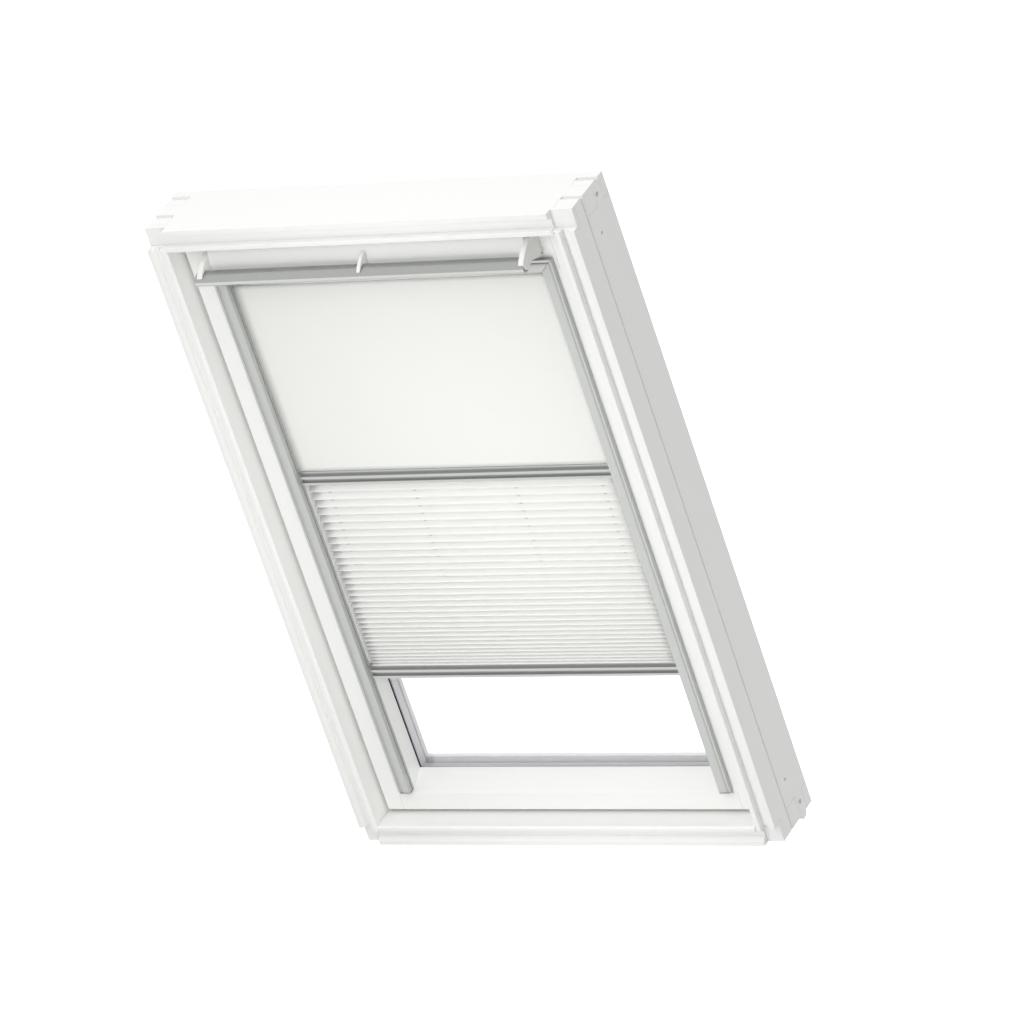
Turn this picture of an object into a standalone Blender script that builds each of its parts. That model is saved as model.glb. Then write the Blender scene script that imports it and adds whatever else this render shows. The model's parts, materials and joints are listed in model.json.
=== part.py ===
"""Centre-pivot roof window with a two-cloth blind: a white timber frame, a glazed sash that
turns in it, a ventilation flap with its control bar, and a roller cloth over a pleated cloth
that run in side channels.

Metres, +Z up. X runs across the window, +Y to the outside and Z up its height. Depths are
measured from the frame's front lip towards the outside, and insets from the frame's outer
faces inward. The origin is the middle of the sill's bottom face."""

import math

import bmesh
import bpy
from mathutils import Euler, Matrix, Vector

# Overall size
FRAME_WIDTH = 0.780
FRAME_HEIGHT = 1.180
FRAME_DEPTH = 0.127
HALF_WIDTH = FRAME_WIDTH / 2
FRONT_Y = -FRAME_DEPTH / 2

# Clearances
TOUCH = 0.0003
HALF_TOUCH = TOUCH / 2
OVERSHOOT = 0.005

# Frame moulding: front lip, lining groove and inner bead
JAMB_THICKNESS = 0.036
HEAD_THICKNESS = 0.038
LIP_FLAT = 0.009
JAMB_LIP_INSET = 0.0124
JAMB_LIP_FALL = 0.005
HEAD_LIP_INSET = 0.0141
HEAD_LIP_FALL = 0.0080
GROOVE_DEPTH = 0.009
JAMB_BEAD_INSET = 0.0251
HEAD_BEAD_INSET = 0.0288
BEAD_WIDTH = 0.0099
BEAD_RISE = 0.0028
BEAD_ROUND = 0.0012
BEAD_BACK = 0.0007

# Corner blocks and finger joints
BLOCK_DEPTH = 0.0136
FINGER_EDGES = (0.023, 0.053, 0.0835, 0.109)
HEAD_BLOCK_WIDTH = 0.039
HEAD_BLOCK_HEIGHT = 0.032
SILL_BLOCK_WIDTH = 0.0287
SILL_BLOCK_HEIGHT = 0.034
FINGER_CHAMFER_RUN = 0.009
FINGER_CHAMFER_FALL = 0.0055
HORN_LENGTH = 0.009
HORN_SETBACKS = (0.001, 0.006)
HORN_CHAMFER = 0.004

# Line along the jambs' outer faces, and their bracket holes
SIDE_GROOVE_DEPTHS = (0.0455, 0.0485)
SIDE_GROOVE_CUT = 0.0020
BRACKET_HOLE_DEPTH = 0.0735
BRACKET_HOLE_INSET = 0.079
BRACKET_HOLE_RADIUS = 0.0026
BRACKET_HOLE_MOUTH = 0.0036
BRACKET_HOLE_REACH = 0.014

# Corner screws
SCREW_SETBACK = 0.0101
SCREW_INSET = 0.022
SCREW_HEAD_RADIUS = 0.0040
SCREW_SHANK_RADIUS = 0.0024
SCREW_LENGTH = 0.070
SCREW_SINK = 0.0015
SCREW_EDGE = 0.0003
SCREW_HEAD_HEIGHT = 0.0025
SCREW_TIP_SPARE = 0.0005

# Sash
SASH_GAP = 0.0055
SASH_GAP_ENDS = 0.0065
SASH_DEPTH = 0.039
SASH_THICKNESS = 0.071
STILE_FACE = 0.0385
CHANNEL_SEAT_WIDTH = 0.019
CHANNEL_SEAT_DEPTH = 0.008
STILE_SLOPE = 0.0054
GLASS_REBATE_DEPTH = 0.036
STILE_REBATE = 0.0134
STILE_JOINT = 0.031
BOTTOM_RAIL_FACE = 0.0319
BOTTOM_RAIL_HEIGHT = 0.0595
BOTTOM_RAIL_REBATE = 0.010
TOP_RAIL_HEIGHT = 0.073
TOP_RAIL_REBATE = 0.0235

# Sealed glass unit
GASKET_THICKNESS = 0.0010
GASKET_WIDTH = 0.0143
GASKET_LIP = 0.002
GASKET_EDGE_SPARE = 0.001
PANE_THICKNESS = 0.004
UNIT_THICKNESS = 0.024
SPACER_WIDTH = 0.010
BEAD_COVER = 0.016

# Centre hinges
HINGE_HEIGHT = 0.590
HINGE_DEPTH = 0.075
HINGE_PIN_RADIUS = 0.006
HINGE_PIN_CLEARANCE = 0.0005
HINGE_PLATE_THICKNESS = 0.0022
HINGE_PLATE_WIDTH = 0.028
HINGE_PLATE_HEIGHT = 0.090
HINGE_PIN_REACH = 0.0040
HINGE_BORE_SPARE = 0.0015

# Weather seals
SEAL_HALF_WIDTH = 0.004
SEAL_THICKNESS = 0.0026
SEAL_END_GAP = 0.004

# Ventilation flap and control bar. Each point of an outline is how far it stands out in
# front of the sash, and how high it is above the sight line
FLAP_END_INSET = 0.012
FLAP_END_THICKNESS = 0.0095
FLAP_RIB_THICKNESS = 0.006
FLAP_PIVOT_OUT = 0.0045
FLAP_PIVOT_RISE = 0.0290
FLAP_PIVOT_ROUND = 0.0042
PIVOT_CORNER_TURN = math.radians(100)
PIVOT_CORNER_STEPS = 4
FLAP_PIN_RADIUS = 0.002
FLAP_PIN_CLEARANCE = 0.0003
FLAP_BRACKET_WIDTH = 0.007
FLAP_BRACKET_HALF = 0.0045
FLAP_PIN_SPARE = 0.0015
FLAP_PANEL_THICKNESS = 0.003
BAR_END_OVERHANG = 0.005
BAR_END_SETBACK = 0.002
BAR_WALL = 0.0028
FLAP_BACK_CORNER = (TOUCH, 0.0695)
FLAP_CREST = (
    (0.0270, 0.0675),
    (0.0390, 0.0615),
    (0.0485, 0.0565),
    (0.0580, 0.0495),
    (0.0632, 0.0440),
    (0.0625, 0.0400),
)
FLAP_UNDERSIDE = ((0.0600, 0.0330), (0.0540, 0.0300), (0.0350, 0.0355))
PANEL_FACE = ((0.0250, 0.0735), (0.0290, 0.0625), (0.0330, 0.0495), (0.0340, 0.0355))
BAR_FACE = (
    (0.0450, 0.0480),
    (0.0548, 0.0465),
    (0.0622, 0.0425),
    (0.0660, 0.0375),
    (0.0652, 0.0320),
    (0.0590, 0.0270),
    (0.0510, 0.0258),
)

# Latch
LATCH_SETBACK = 0.017
BOLT_HALF_WIDTH = 0.010
BOLT_THICKNESS = 0.008
BOLT_LENGTH = 0.030
BOLT_TIP_CLEARANCE = 0.001
HOUSING_WALL_X = 0.0095
HOUSING_WALL_Y = 0.0038
HOUSING_HEIGHT = 0.0335
KEEPER_HALF_WIDTH = 0.025
KEEPER_WALL_Y = 0.006
KEEPER_THICKNESS = 0.002
KEEPER_SLOT_SPARE = 0.001
KEEPER_POCKET = 0.008

# Side channels
CHANNEL_PROUD = 0.009
CHANNEL_OVERLAP = 0.0015
CHANNEL_WIDTH = 0.0215
CHANNEL_RIB = 0.0035
CHANNEL_GROOVE = 0.0025
CHANNEL_LIP = 0.006
CHANNEL_RECESS = 0.0025
CHANNEL_DOME_STEPS = 5
CHANNEL_WALL = 0.0015
SLOT_SETBACK = 0.001
SLOT_WIDTH = 0.0024
CHANNEL_FOOT_HEIGHT = 0.0023
CHANNEL_FOOT_SETBACK = 0.0025
CHANNEL_START = 0.0049
FOOT_PLUG_HEIGHT = 0.010

# Blind casing and roller
CASING_DROP = 0.002
CASING_FIT = 0.0002
CASING_REAR_SETBACK = 0.0345
CASING_REAR_HEIGHT = 0.0245
CASING_CAP_THICKNESS = 0.0016
ROLLER_SETBACK = 0.018
ROLLER_DROP = 0.0115
ROLLER_RADIUS = 0.009
ROLLER_WALL = 0.0012
ROLL_RADIUS = 0.0112
ROLLER_PIN_RADIUS = 0.003
ROLLER_PLUG_LENGTH = 0.008
SPRING_WIRE_RADIUS = 0.0006
SPRING_TURNS = 12
SPRING_PITCH = 0.009
SPRING_START = 0.012
SPRING_POINTS = 8

# Cloths and their bars
BLIND_END_CLEARANCE = 0.0011
GLIDE_LENGTH = 0.0026
GLIDE_FIN_REACH = 0.0065
GLIDE_FIN_HEIGHT = 0.018
GLIDE_PLUG_LENGTH = 0.008
MID_BAR_TOP = 0.7005
LOW_BAR_TOP = 0.327
BAR_HEIGHT = 0.0225
BAR_NOSE_PROUD = 0.001
BAR_GROOVE_SETBACK = 0.004
BAR_TOP_FACE_SETBACK = 0.005
BAR_BACK_SETBACK = 0.017
BAR_LEDGE_DROP = 0.006
BAR_LEDGE_HEIGHT = 0.0048
BAR_GROOVE_HEIGHT = 0.0067
BAR_CAVITY_WALL = 0.002
BLACKOUT_SETBACK = 0.0061
BLACKOUT_THICKNESS = 0.0004
PLEATED_INSET = 0.0054
PLEAT_COUNT = 32
PLEAT_SETBACKS = (0.0035, 0.0165)
PLEAT_WALL = 0.0013
PLEAT_TOP_SHARE = 1.36
PLEAT_LOW_SHARE = 0.48
PLEAT_CLOSING = 1.5

# Segments round a full circle
ROUND_SIDES = 24

SASH_HALF_WIDTH = HALF_WIDTH - JAMB_THICKNESS - SASH_GAP
SASH_BOTTOM = HEAD_THICKNESS + SASH_GAP_ENDS
SASH_TOP = FRAME_HEIGHT - SASH_BOTTOM
SASH_BACK = SASH_DEPTH + SASH_THICKNESS
SEAT_HALF = SASH_HALF_WIDTH - STILE_FACE
STILE_INNER = SEAT_HALF - CHANNEL_SEAT_WIDTH
SIGHT_HALF = STILE_INNER - STILE_SLOPE
REBATE_DEPTH = SASH_DEPTH + GLASS_REBATE_DEPTH
REBATE_HALF = SIGHT_HALF + STILE_REBATE
SASH_JOINT_HALF = SASH_HALF_WIDTH - STILE_JOINT
RAIL_HALF = SASH_JOINT_HALF
SIGHT_BOTTOM = SASH_BOTTOM + BOTTOM_RAIL_HEIGHT
REBATE_BOTTOM = SIGHT_BOTTOM - BOTTOM_RAIL_REBATE
SIGHT_TOP = SASH_TOP - TOP_RAIL_HEIGHT
REBATE_TOP = SIGHT_TOP + TOP_RAIL_REBATE
GASKET_DEPTH = REBATE_DEPTH + TOUCH
GLASS_DEPTH = GASKET_DEPTH + GASKET_THICKNESS + TOUCH
CHANNEL_OUTER = SEAT_HALF + CHANNEL_OVERLAP
CHANNEL_INNER = CHANNEL_OUTER - CHANNEL_WIDTH
CHANNEL_FACE_DEPTH = SASH_DEPTH - CHANNEL_PROUD
CHANNEL_BOTTOM = SASH_BOTTOM + BOTTOM_RAIL_FACE + CHANNEL_START
SLOT_DEPTHS = (SASH_DEPTH + SLOT_SETBACK, SASH_DEPTH + SLOT_SETBACK + SLOT_WIDTH)
CASING_BOTTOM = SIGHT_TOP - CASING_DROP
CASING_TOP = CASING_BOTTOM + CHANNEL_WIDTH
CASING_REAR_HALF = STILE_INNER + CASING_FIT
CASING_REAR_DEPTH = SASH_DEPTH + CASING_REAR_SETBACK
ROLLER_DEPTH = SASH_DEPTH + ROLLER_SETBACK
ROLLER_HEIGHT = CASING_BOTTOM - ROLLER_DROP
BLIND_HALF_SPAN = CHANNEL_INNER - BLIND_END_CLEARANCE
PLEATED_HALF_WIDTH = BLIND_HALF_SPAN - PLEATED_INSET
LATCH_DEPTH = SASH_DEPTH + LATCH_SETBACK
SCREW_DEPTH = FINGER_EDGES[2] + SCREW_SETBACK
SEAL_DEPTHS = (HINGE_DEPTH - SEAL_HALF_WIDTH, HINGE_DEPTH + SEAL_HALF_WIDTH)
FLAP_HALF_SPAN = SEAT_HALF - FLAP_END_INSET
FLAP_PIVOT_DEPTH = SASH_DEPTH - FLAP_PIVOT_OUT
FLAP_PIVOT_HEIGHT = SIGHT_TOP + FLAP_PIVOT_RISE
FLAP_PANEL_HALF = FLAP_HALF_SPAN - FLAP_END_THICKNESS - TOUCH
MITRE_Z_AT_CENTRE = CASING_BOTTOM - CHANNEL_INNER

OBJECT_COLLECTION = "roof_window_with_blind"
AXIS_TURN = {
    "X": Euler((math.radians(90), 0, math.radians(90))),
    "Y": Euler((math.radians(90), 0, 0)),
    "Z": Euler((0, 0, 0)),
}


def collection(name):
    made = bpy.data.collections.new(name)
    bpy.context.scene.collection.children.link(made)
    return made


def material(name, colour, roughness, metallic=0.0, alpha=1.0):
    made = bpy.data.materials.new(name)
    made.use_nodes = True
    shader = made.node_tree.nodes["Principled BSDF"]
    shader.inputs["Base Color"].default_value = (*colour, 1)
    shader.inputs["Roughness"].default_value = roughness
    shader.inputs["Metallic"].default_value = metallic
    shader.inputs["Alpha"].default_value = alpha
    made.diffuse_color = (*colour, alpha)
    return made


def carrier(name, x, depth, z, parent=None):
    """An empty on a joint's axis; the pieces of one moving body hang on it."""
    empty = bpy.data.objects.new(name, None)
    PARTS.objects.link(empty)
    empty.location = (x, FRONT_Y + depth, z)
    if parent:
        hang(empty, parent)
    bpy.context.view_layer.update()
    return empty


def hang(obj, parent):
    """Parents an object to a carrier and leaves it where it is."""
    obj.parent = parent
    obj.matrix_parent_inverse = parent.matrix_world.inverted()


def finish(obj, look, parent):
    obj.data.materials.clear()
    obj.data.materials.append(look)
    PARTS.objects.link(obj)
    hang(obj, parent)
    return obj


def with_mesh(name, bm, location=(0, 0, 0), rotation=None):
    bmesh.ops.recalc_face_normals(bm, faces=bm.faces)
    mesh = bpy.data.meshes.new(name)
    bm.to_mesh(mesh)
    bm.free()
    obj = bpy.data.objects.new(name, mesh)
    obj.location = location
    if rotation:
        obj.rotation_euler = rotation
    return obj


def box(name, x_span, depth_span, z_span):
    spans = (x_span, depth_span, z_span)
    size = Vector([abs(span[1] - span[0]) for span in spans])
    middle = Vector([(span[0] + span[1]) / 2 for span in spans])
    bm = bmesh.new()
    bmesh.ops.create_cube(bm, size=1)
    bmesh.ops.scale(bm, vec=size, verts=bm.verts)
    return with_mesh(name, bm, middle + Vector((0, FRONT_Y, 0)))


def rod_along_x(name, radius, x_span, depth, z):
    bm = bmesh.new()
    length = abs(x_span[1] - x_span[0])
    bmesh.ops.create_cone(
        bm, cap_ends=True, segments=ROUND_SIDES, radius1=radius, radius2=radius, depth=length
    )
    bmesh.ops.rotate(bm, matrix=Matrix.Rotation(math.radians(90), 3, "Y"), verts=bm.verts)
    return with_mesh(name, bm, (sum(x_span) / 2, FRONT_Y + depth, z))


def turned_along_x(name, profile, start_x, side, depth, z):
    """Turns a profile of (along, radius) pairs; `along` runs from start_x towards the centre."""
    bm = bmesh.new()
    points = [bm.verts.new((radius, 0, -along)) for along, radius in profile]
    for first, second in zip(points, points[1:]):
        bm.edges.new((first, second))
    mesh = bpy.data.meshes.new(name)
    bm.to_mesh(mesh)
    bm.free()
    obj = bpy.data.objects.new(name, mesh)
    obj.location = (start_x, FRONT_Y + depth, z)
    obj.rotation_euler = (0, math.radians(90) * side, 0)
    screw = obj.modifiers.new("turn", "SCREW")
    screw.steps = ROUND_SIDES
    screw.render_steps = ROUND_SIDES
    screw.use_merge_vertices = True
    screw.merge_threshold = 0.00001
    return obj


def extruded(name, outline, axis, start, end, hole=None):
    """A flat outline given its length along one axis. Pairs are (depth, z) along X,
    (x, z) along Y and (x, depth) along Z."""
    curve = bpy.data.curves.new(name, "CURVE")
    curve.dimensions = "2D"
    curve.fill_mode = "BOTH"
    curve.extrude = abs(end - start) / 2
    for loop in [outline] + ([hole] if hole else []):
        spline = curve.splines.new("POLY")
        spline.points.add(len(loop) - 1)
        for point, (u, v) in zip(spline.points, loop):
            point.co = (u, v, 0, 1)
        spline.use_cyclic_u = True
    source = bpy.data.objects.new(name, curve)
    source.rotation_euler = AXIS_TURN[axis]
    middle = (start + end) / 2
    places = {
        "X": (middle, FRONT_Y, 0),
        "Y": (0, FRONT_Y + middle, 0),
        "Z": (0, FRONT_Y, middle),
    }
    source.location = places[axis]
    return as_mesh(source)


def as_mesh(source):
    """The closed mesh of a filled curve, with its caps welded on."""
    bpy.context.scene.collection.objects.link(source)
    bpy.context.view_layer.update()
    graph = bpy.context.evaluated_depsgraph_get()
    mesh = bpy.data.meshes.new_from_object(source.evaluated_get(graph))
    bm = bmesh.new()
    bm.from_mesh(mesh)
    bmesh.ops.remove_doubles(bm, verts=bm.verts, dist=0.00001)
    bmesh.ops.recalc_face_normals(bm, faces=bm.faces)
    bm.to_mesh(mesh)
    bm.free()
    name = source.name
    matrix = source.matrix_world.copy()
    bpy.data.objects.remove(source, do_unlink=True)
    mesh.name = name
    obj = bpy.data.objects.new(name, mesh)
    obj.matrix_world = matrix
    return obj


def boolean(obj, tool, operation, parent):
    CUTTERS.objects.link(tool)
    tool.hide_render = True
    tool.display_type = "WIRE"
    hang(tool, parent)
    step = obj.modifiers.new(tool.name, "BOOLEAN")
    step.operation = operation
    step.object = tool
    step.solver = "EXACT"


def cut(obj, parent, tools):
    for tool in tools:
        boolean(obj, tool, "DIFFERENCE", parent)
    return obj


def join(obj, parent, tools):
    for tool in tools:
        boolean(obj, tool, "UNION", parent)
    return obj


def sideways(side, inner, outer):
    """An X span on one side of the window, from an inner to an outer distance."""
    return (side * inner, side * outer)


def moulding(thickness, lip_inset, lip_fall, bead_inset, side_groove=()):
    """A frame member's section as (inset, depth): lip, lining groove, bead and body, and
    what is cut along its outer face."""
    bead_end = bead_inset + BEAD_WIDTH
    return [
        (0, 0),
        (LIP_FLAT, 0),
        (lip_inset, lip_fall),
        (lip_inset, GROOVE_DEPTH),
        (bead_inset, GROOVE_DEPTH),
        (bead_inset, BEAD_ROUND - BEAD_RISE),
        (bead_inset + BEAD_ROUND, -BEAD_RISE),
        (bead_end - BEAD_RISE, -BEAD_RISE),
        (bead_end, BEAD_BACK),
        (thickness, BEAD_BACK),
        (thickness, FRAME_DEPTH),
        (0, FRAME_DEPTH),
        *side_groove,
    ]


def side_groove():
    """The square groove along a jamb's outer face, back to front."""
    front, back = SIDE_GROOVE_DEPTHS
    return [(0, back), (SIDE_GROOVE_CUT, back), (SIDE_GROOVE_CUT, front), (0, front)]


def finger_layers():
    """Depth spans of the finger joint's layers, front to back; head and sill own the first."""
    edges = (BLOCK_DEPTH, *FINGER_EDGES, FRAME_DEPTH)
    return list(zip(edges, edges[1:]))


def layer_cut(span, last):
    """A finger layer's depth span with half a clearance at each face, open past the ends."""
    back = span[1] + (OVERSHOOT if last else HALF_TOUCH)
    return (span[0] - HALF_TOUCH, back)


def screw_profile(start, extra_radius, end):
    """A countersunk screw, or with some extra radius the hole that it sits in."""
    head = SCREW_HEAD_RADIUS + extra_radius
    shank = SCREW_SHANK_RADIUS + extra_radius
    return [
        (start, 0),
        (start, head),
        (SCREW_SINK + SCREW_EDGE, head),
        (SCREW_SINK + SCREW_HEAD_HEIGHT, shank),
        (end, shank),
        (end, 0),
    ]


def corner_places():
    for end, z in (("bottom", SCREW_INSET), ("top", FRAME_HEIGHT - SCREW_INSET)):
        for word, side in SIDES:
            yield f"{end}_{word}", side, z


def screw_holes(owner, side, z):
    name = f"cut_screw_{owner}_{'right' if side > 0 else 'left'}_{z:.3f}"
    profile = screw_profile(-OVERSHOOT, TOUCH, SCREW_LENGTH + SCREW_TIP_SPARE)
    return turned_along_x(name, profile, side * HALF_WIDTH, side, SCREW_DEPTH, z)


def bracket_hole(owner, side, z):
    """A countersunk hole in a jamb's outer face for a fixing bracket's screw."""
    profile = [
        (-OVERSHOOT, 0),
        (-OVERSHOOT, BRACKET_HOLE_MOUTH),
        (0, BRACKET_HOLE_MOUTH),
        (BRACKET_HOLE_MOUTH - BRACKET_HOLE_RADIUS, BRACKET_HOLE_RADIUS),
        (BRACKET_HOLE_REACH, BRACKET_HOLE_RADIUS),
        (BRACKET_HOLE_REACH, 0),
    ]
    name = f"cut_{owner}_bracket_{z:.3f}"
    return turned_along_x(name, profile, side * HALF_WIDTH, side, BRACKET_HOLE_DEPTH, z)


def cross_member(name, at_top):
    """Head or sill: moulding along X, fingers at both ends, sockets for the jambs' fingers."""
    section = moulding(HEAD_THICKNESS, HEAD_LIP_INSET, HEAD_LIP_FALL, HEAD_BEAD_INSET)
    place = (lambda inset: FRAME_HEIGHT - inset) if at_top else (lambda inset: inset)
    outline = [(depth, place(inset)) for inset, depth in section]
    member = extruded(name, outline, "X", -HALF_WIDTH, HALF_WIDTH)
    whole = (place(-OVERSHOOT), place(HEAD_THICKNESS + OVERSHOOT))
    front = (-BEAD_RISE - OVERSHOOT, BLOCK_DEPTH)
    socket = HALF_WIDTH - JAMB_THICKNESS - TOUCH
    past = HALF_WIDTH + OVERSHOOT
    tools = []
    for word, side in SIDES:
        for index, span in enumerate(finger_layers()):
            if index % 2:
                depths = layer_cut(span, False)
                tools.append(
                    box(f"cut_{name}_{word}_{index}", sideways(side, socket, past), depths, whole)
                )
        if at_top:
            block = sideways(side, HALF_WIDTH - HEAD_BLOCK_WIDTH, past)
            tools.append(box(f"cut_{name}_{word}_end", sideways(side, socket, past), front, whole))
            patch = (place(-OVERSHOOT), place(HEAD_BLOCK_HEIGHT))
            tools.append(box(f"cut_{name}_{word}_block", block, front, patch))
        else:
            block = sideways(side, HALF_WIDTH - SILL_BLOCK_WIDTH, past)
            tools.append(box(f"cut_{name}_{word}_block", block, front, whole))
            over = (place(HEAD_BEAD_INSET - TOUCH), place(HEAD_THICKNESS + OVERSHOOT))
            tools.append(box(f"cut_{name}_{word}_end", sideways(side, socket, past), front, over))
        screw_z = place(SCREW_INSET)
        tools.append(screw_holes(name, side, screw_z))
    cut(member, FRAME, tools)
    return member


def build_head():
    head = cross_member("frame_head", True)
    pocket_half_y = BOLT_THICKNESS / 2 + KEEPER_WALL_Y + TOUCH
    slot_half_y = BOLT_THICKNESS / 2 + KEEPER_SLOT_SPARE
    slot_half_x = BOLT_HALF_WIDTH + KEEPER_SLOT_SPARE
    face = FRAME_HEIGHT - HEAD_THICKNESS
    plate_half = KEEPER_HALF_WIDTH + TOUCH
    plate_pocket = box(
        "cut_keeper_pocket",
        (-plate_half, plate_half),
        (LATCH_DEPTH - pocket_half_y, LATCH_DEPTH + pocket_half_y),
        (face - OVERSHOOT, face + KEEPER_THICKNESS + TOUCH),
    )
    bolt_pocket = box(
        "cut_bolt_pocket",
        (-slot_half_x, slot_half_x),
        (LATCH_DEPTH - slot_half_y, LATCH_DEPTH + slot_half_y),
        (face - OVERSHOOT, face + KEEPER_THICKNESS + KEEPER_POCKET),
    )
    cut(head, FRAME, [plate_pocket, bolt_pocket])
    finish(head, WHITE_PAINT, FRAME)

    keeper = box(
        "latch_keeper",
        (-KEEPER_HALF_WIDTH, KEEPER_HALF_WIDTH),
        (LATCH_DEPTH - pocket_half_y + TOUCH, LATCH_DEPTH + pocket_half_y - TOUCH),
        (face, face + KEEPER_THICKNESS),
    )
    slot = box(
        "cut_keeper_slot",
        (-slot_half_x, slot_half_x),
        (LATCH_DEPTH - slot_half_y, LATCH_DEPTH + slot_half_y),
        (face - OVERSHOOT, face + OVERSHOOT),
    )
    cut(keeper, FRAME, [slot])
    finish(keeper, ZINC, FRAME)


def build_sill():
    finish(cross_member("frame_sill", False), WHITE_PAINT, FRAME)


def horn(name, side):
    """The end of a jamb's rear finger, which stands proud below the sill."""
    front = FINGER_EDGES[2] + HORN_SETBACKS[0]
    back = FINGER_EDGES[3] - HORN_SETBACKS[1]
    outline = [
        (front, HORN_CHAMFER),
        (front, HORN_CHAMFER - HORN_LENGTH),
        (front + HORN_CHAMFER, -HORN_LENGTH),
        (back - HORN_CHAMFER, -HORN_LENGTH),
        (back, HORN_CHAMFER - HORN_LENGTH),
        (back, HORN_CHAMFER),
    ]
    inner = HALF_WIDTH - JAMB_THICKNESS + TOUCH
    start, end = sorted(sideways(side, inner, HALF_WIDTH - TOUCH))
    return extruded(name, outline, "X", start, end)


def finger_chamfer(name, x_span, back):
    """A wedge off the upper rear corner of a jamb's finger."""
    outline = [
        (back - FINGER_CHAMFER_RUN, FRAME_HEIGHT),
        (back, FRAME_HEIGHT - FINGER_CHAMFER_FALL),
        (back + OVERSHOOT, FRAME_HEIGHT - FINGER_CHAMFER_FALL),
        (back + OVERSHOOT, FRAME_HEIGHT + OVERSHOOT),
        (back - FINGER_CHAMFER_RUN, FRAME_HEIGHT + OVERSHOOT),
    ]
    return extruded(name, outline, "X", *sorted(x_span))


def build_jamb(word, side):
    name = f"frame_jamb_{word}"
    section = moulding(
        JAMB_THICKNESS, JAMB_LIP_INSET, JAMB_LIP_FALL, JAMB_BEAD_INSET, side_groove()
    )
    outline = [(side * (HALF_WIDTH - inset), depth) for inset, depth in section]
    jamb = extruded(name, outline, "Z", 0, FRAME_HEIGHT)
    past = sideways(side, HALF_WIDTH - JAMB_THICKNESS - OVERSHOOT, HALF_WIDTH + OVERSHOOT)
    front = (-BEAD_RISE - OVERSHOOT, BLOCK_DEPTH)
    shoulder = HEAD_THICKNESS + TOUCH
    top = (FRAME_HEIGHT - shoulder, FRAME_HEIGHT + OVERSHOOT)
    bottom = (-OVERSHOOT, shoulder)
    layers = finger_layers()
    tools = []
    for index, span in enumerate(layers):
        if index % 2 == 0:
            depths = layer_cut(span, index == len(layers) - 1)
            tools.append(box(f"cut_{name}_top_{index}", past, depths, top))
            tools.append(box(f"cut_{name}_bottom_{index}", past, depths, bottom))
        else:
            tools.append(finger_chamfer(f"cut_{name}_chamfer_{index}", past, span[1]))
    block_z = (FRAME_HEIGHT - HEAD_BLOCK_HEIGHT, FRAME_HEIGHT + OVERSHOOT)
    tools.append(box(f"cut_{name}_top_block", past, front, block_z))
    lip = sideways(side, HALF_WIDTH - JAMB_BEAD_INSET, HALF_WIDTH + OVERSHOOT)
    tools.append(box(f"cut_{name}_lip_end", lip, front, (-OVERSHOOT, SILL_BLOCK_HEIGHT)))
    tools.append(box(f"cut_{name}_bead_end", past, front, (-OVERSHOOT, HEAD_BEAD_INSET)))
    for z in (SCREW_INSET, FRAME_HEIGHT - SCREW_INSET):
        tools.append(screw_holes(name, side, z))
    for z in (BRACKET_HOLE_INSET, FRAME_HEIGHT - BRACKET_HOLE_INSET):
        tools.append(bracket_hole(name, side, z))
    seat_width = HINGE_PLATE_WIDTH / 2 + TOUCH
    seat_height = HINGE_PLATE_HEIGHT / 2 + TOUCH
    inner = HALF_WIDTH - JAMB_THICKNESS
    seat = box(
        f"cut_{name}_hinge",
        sideways(side, inner - OVERSHOOT, inner + HINGE_PLATE_THICKNESS + TOUCH),
        (HINGE_DEPTH - seat_width, HINGE_DEPTH + seat_width),
        (HINGE_HEIGHT - seat_height, HINGE_HEIGHT + seat_height),
    )
    tools.append(seat)
    cut(jamb, FRAME, tools)
    join(jamb, FRAME, [horn(f"horn_{word}", side)])
    finish(jamb, WHITE_PAINT, FRAME)


def build_corner_screws():
    for place, side, z in corner_places():
        profile = screw_profile(SCREW_SINK, 0, SCREW_LENGTH)
        screw = turned_along_x(
            f"corner_screw_{place}", profile, side * HALF_WIDTH, side, SCREW_DEPTH, z
        )
        finish(screw, ZINC, FRAME)


def hinge_plate(name, side, x_span):
    half_width = HINGE_PLATE_WIDTH / 2
    half_height = HINGE_PLATE_HEIGHT / 2
    return box(
        name,
        sideways(side, *x_span),
        (HINGE_DEPTH - half_width, HINGE_DEPTH + half_width),
        (HINGE_HEIGHT - half_height, HINGE_HEIGHT + half_height),
    )


def build_frame_hinge(word, side):
    inner = HALF_WIDTH - JAMB_THICKNESS
    plate = hinge_plate(f"frame_hinge_{word}", side, (inner, inner + HINGE_PLATE_THICKNESS))
    tip = SASH_HALF_WIDTH - HINGE_PLATE_THICKNESS - HINGE_PIN_REACH
    root = inner + HINGE_PLATE_THICKNESS / 2
    pin = rod_along_x(
        f"hinge_pin_{word}", HINGE_PIN_RADIUS, sideways(side, tip, root), HINGE_DEPTH, HINGE_HEIGHT
    )
    join(plate, FRAME, [pin])
    finish(plate, ZINC, FRAME)


def build_sash_hinge(word, side):
    outer = SASH_HALF_WIDTH
    plate = hinge_plate(f"sash_hinge_{word}", side, (outer - HINGE_PLATE_THICKNESS, outer))
    bore = rod_along_x(
        f"cut_sash_hinge_{word}",
        HINGE_PIN_RADIUS + HINGE_PIN_CLEARANCE,
        sideways(side, outer - HINGE_PLATE_THICKNESS - OVERSHOOT, outer + OVERSHOOT),
        HINGE_DEPTH,
        HINGE_HEIGHT,
    )
    cut(plate, SASH, [bore])
    finish(plate, ZINC, SASH)


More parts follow.
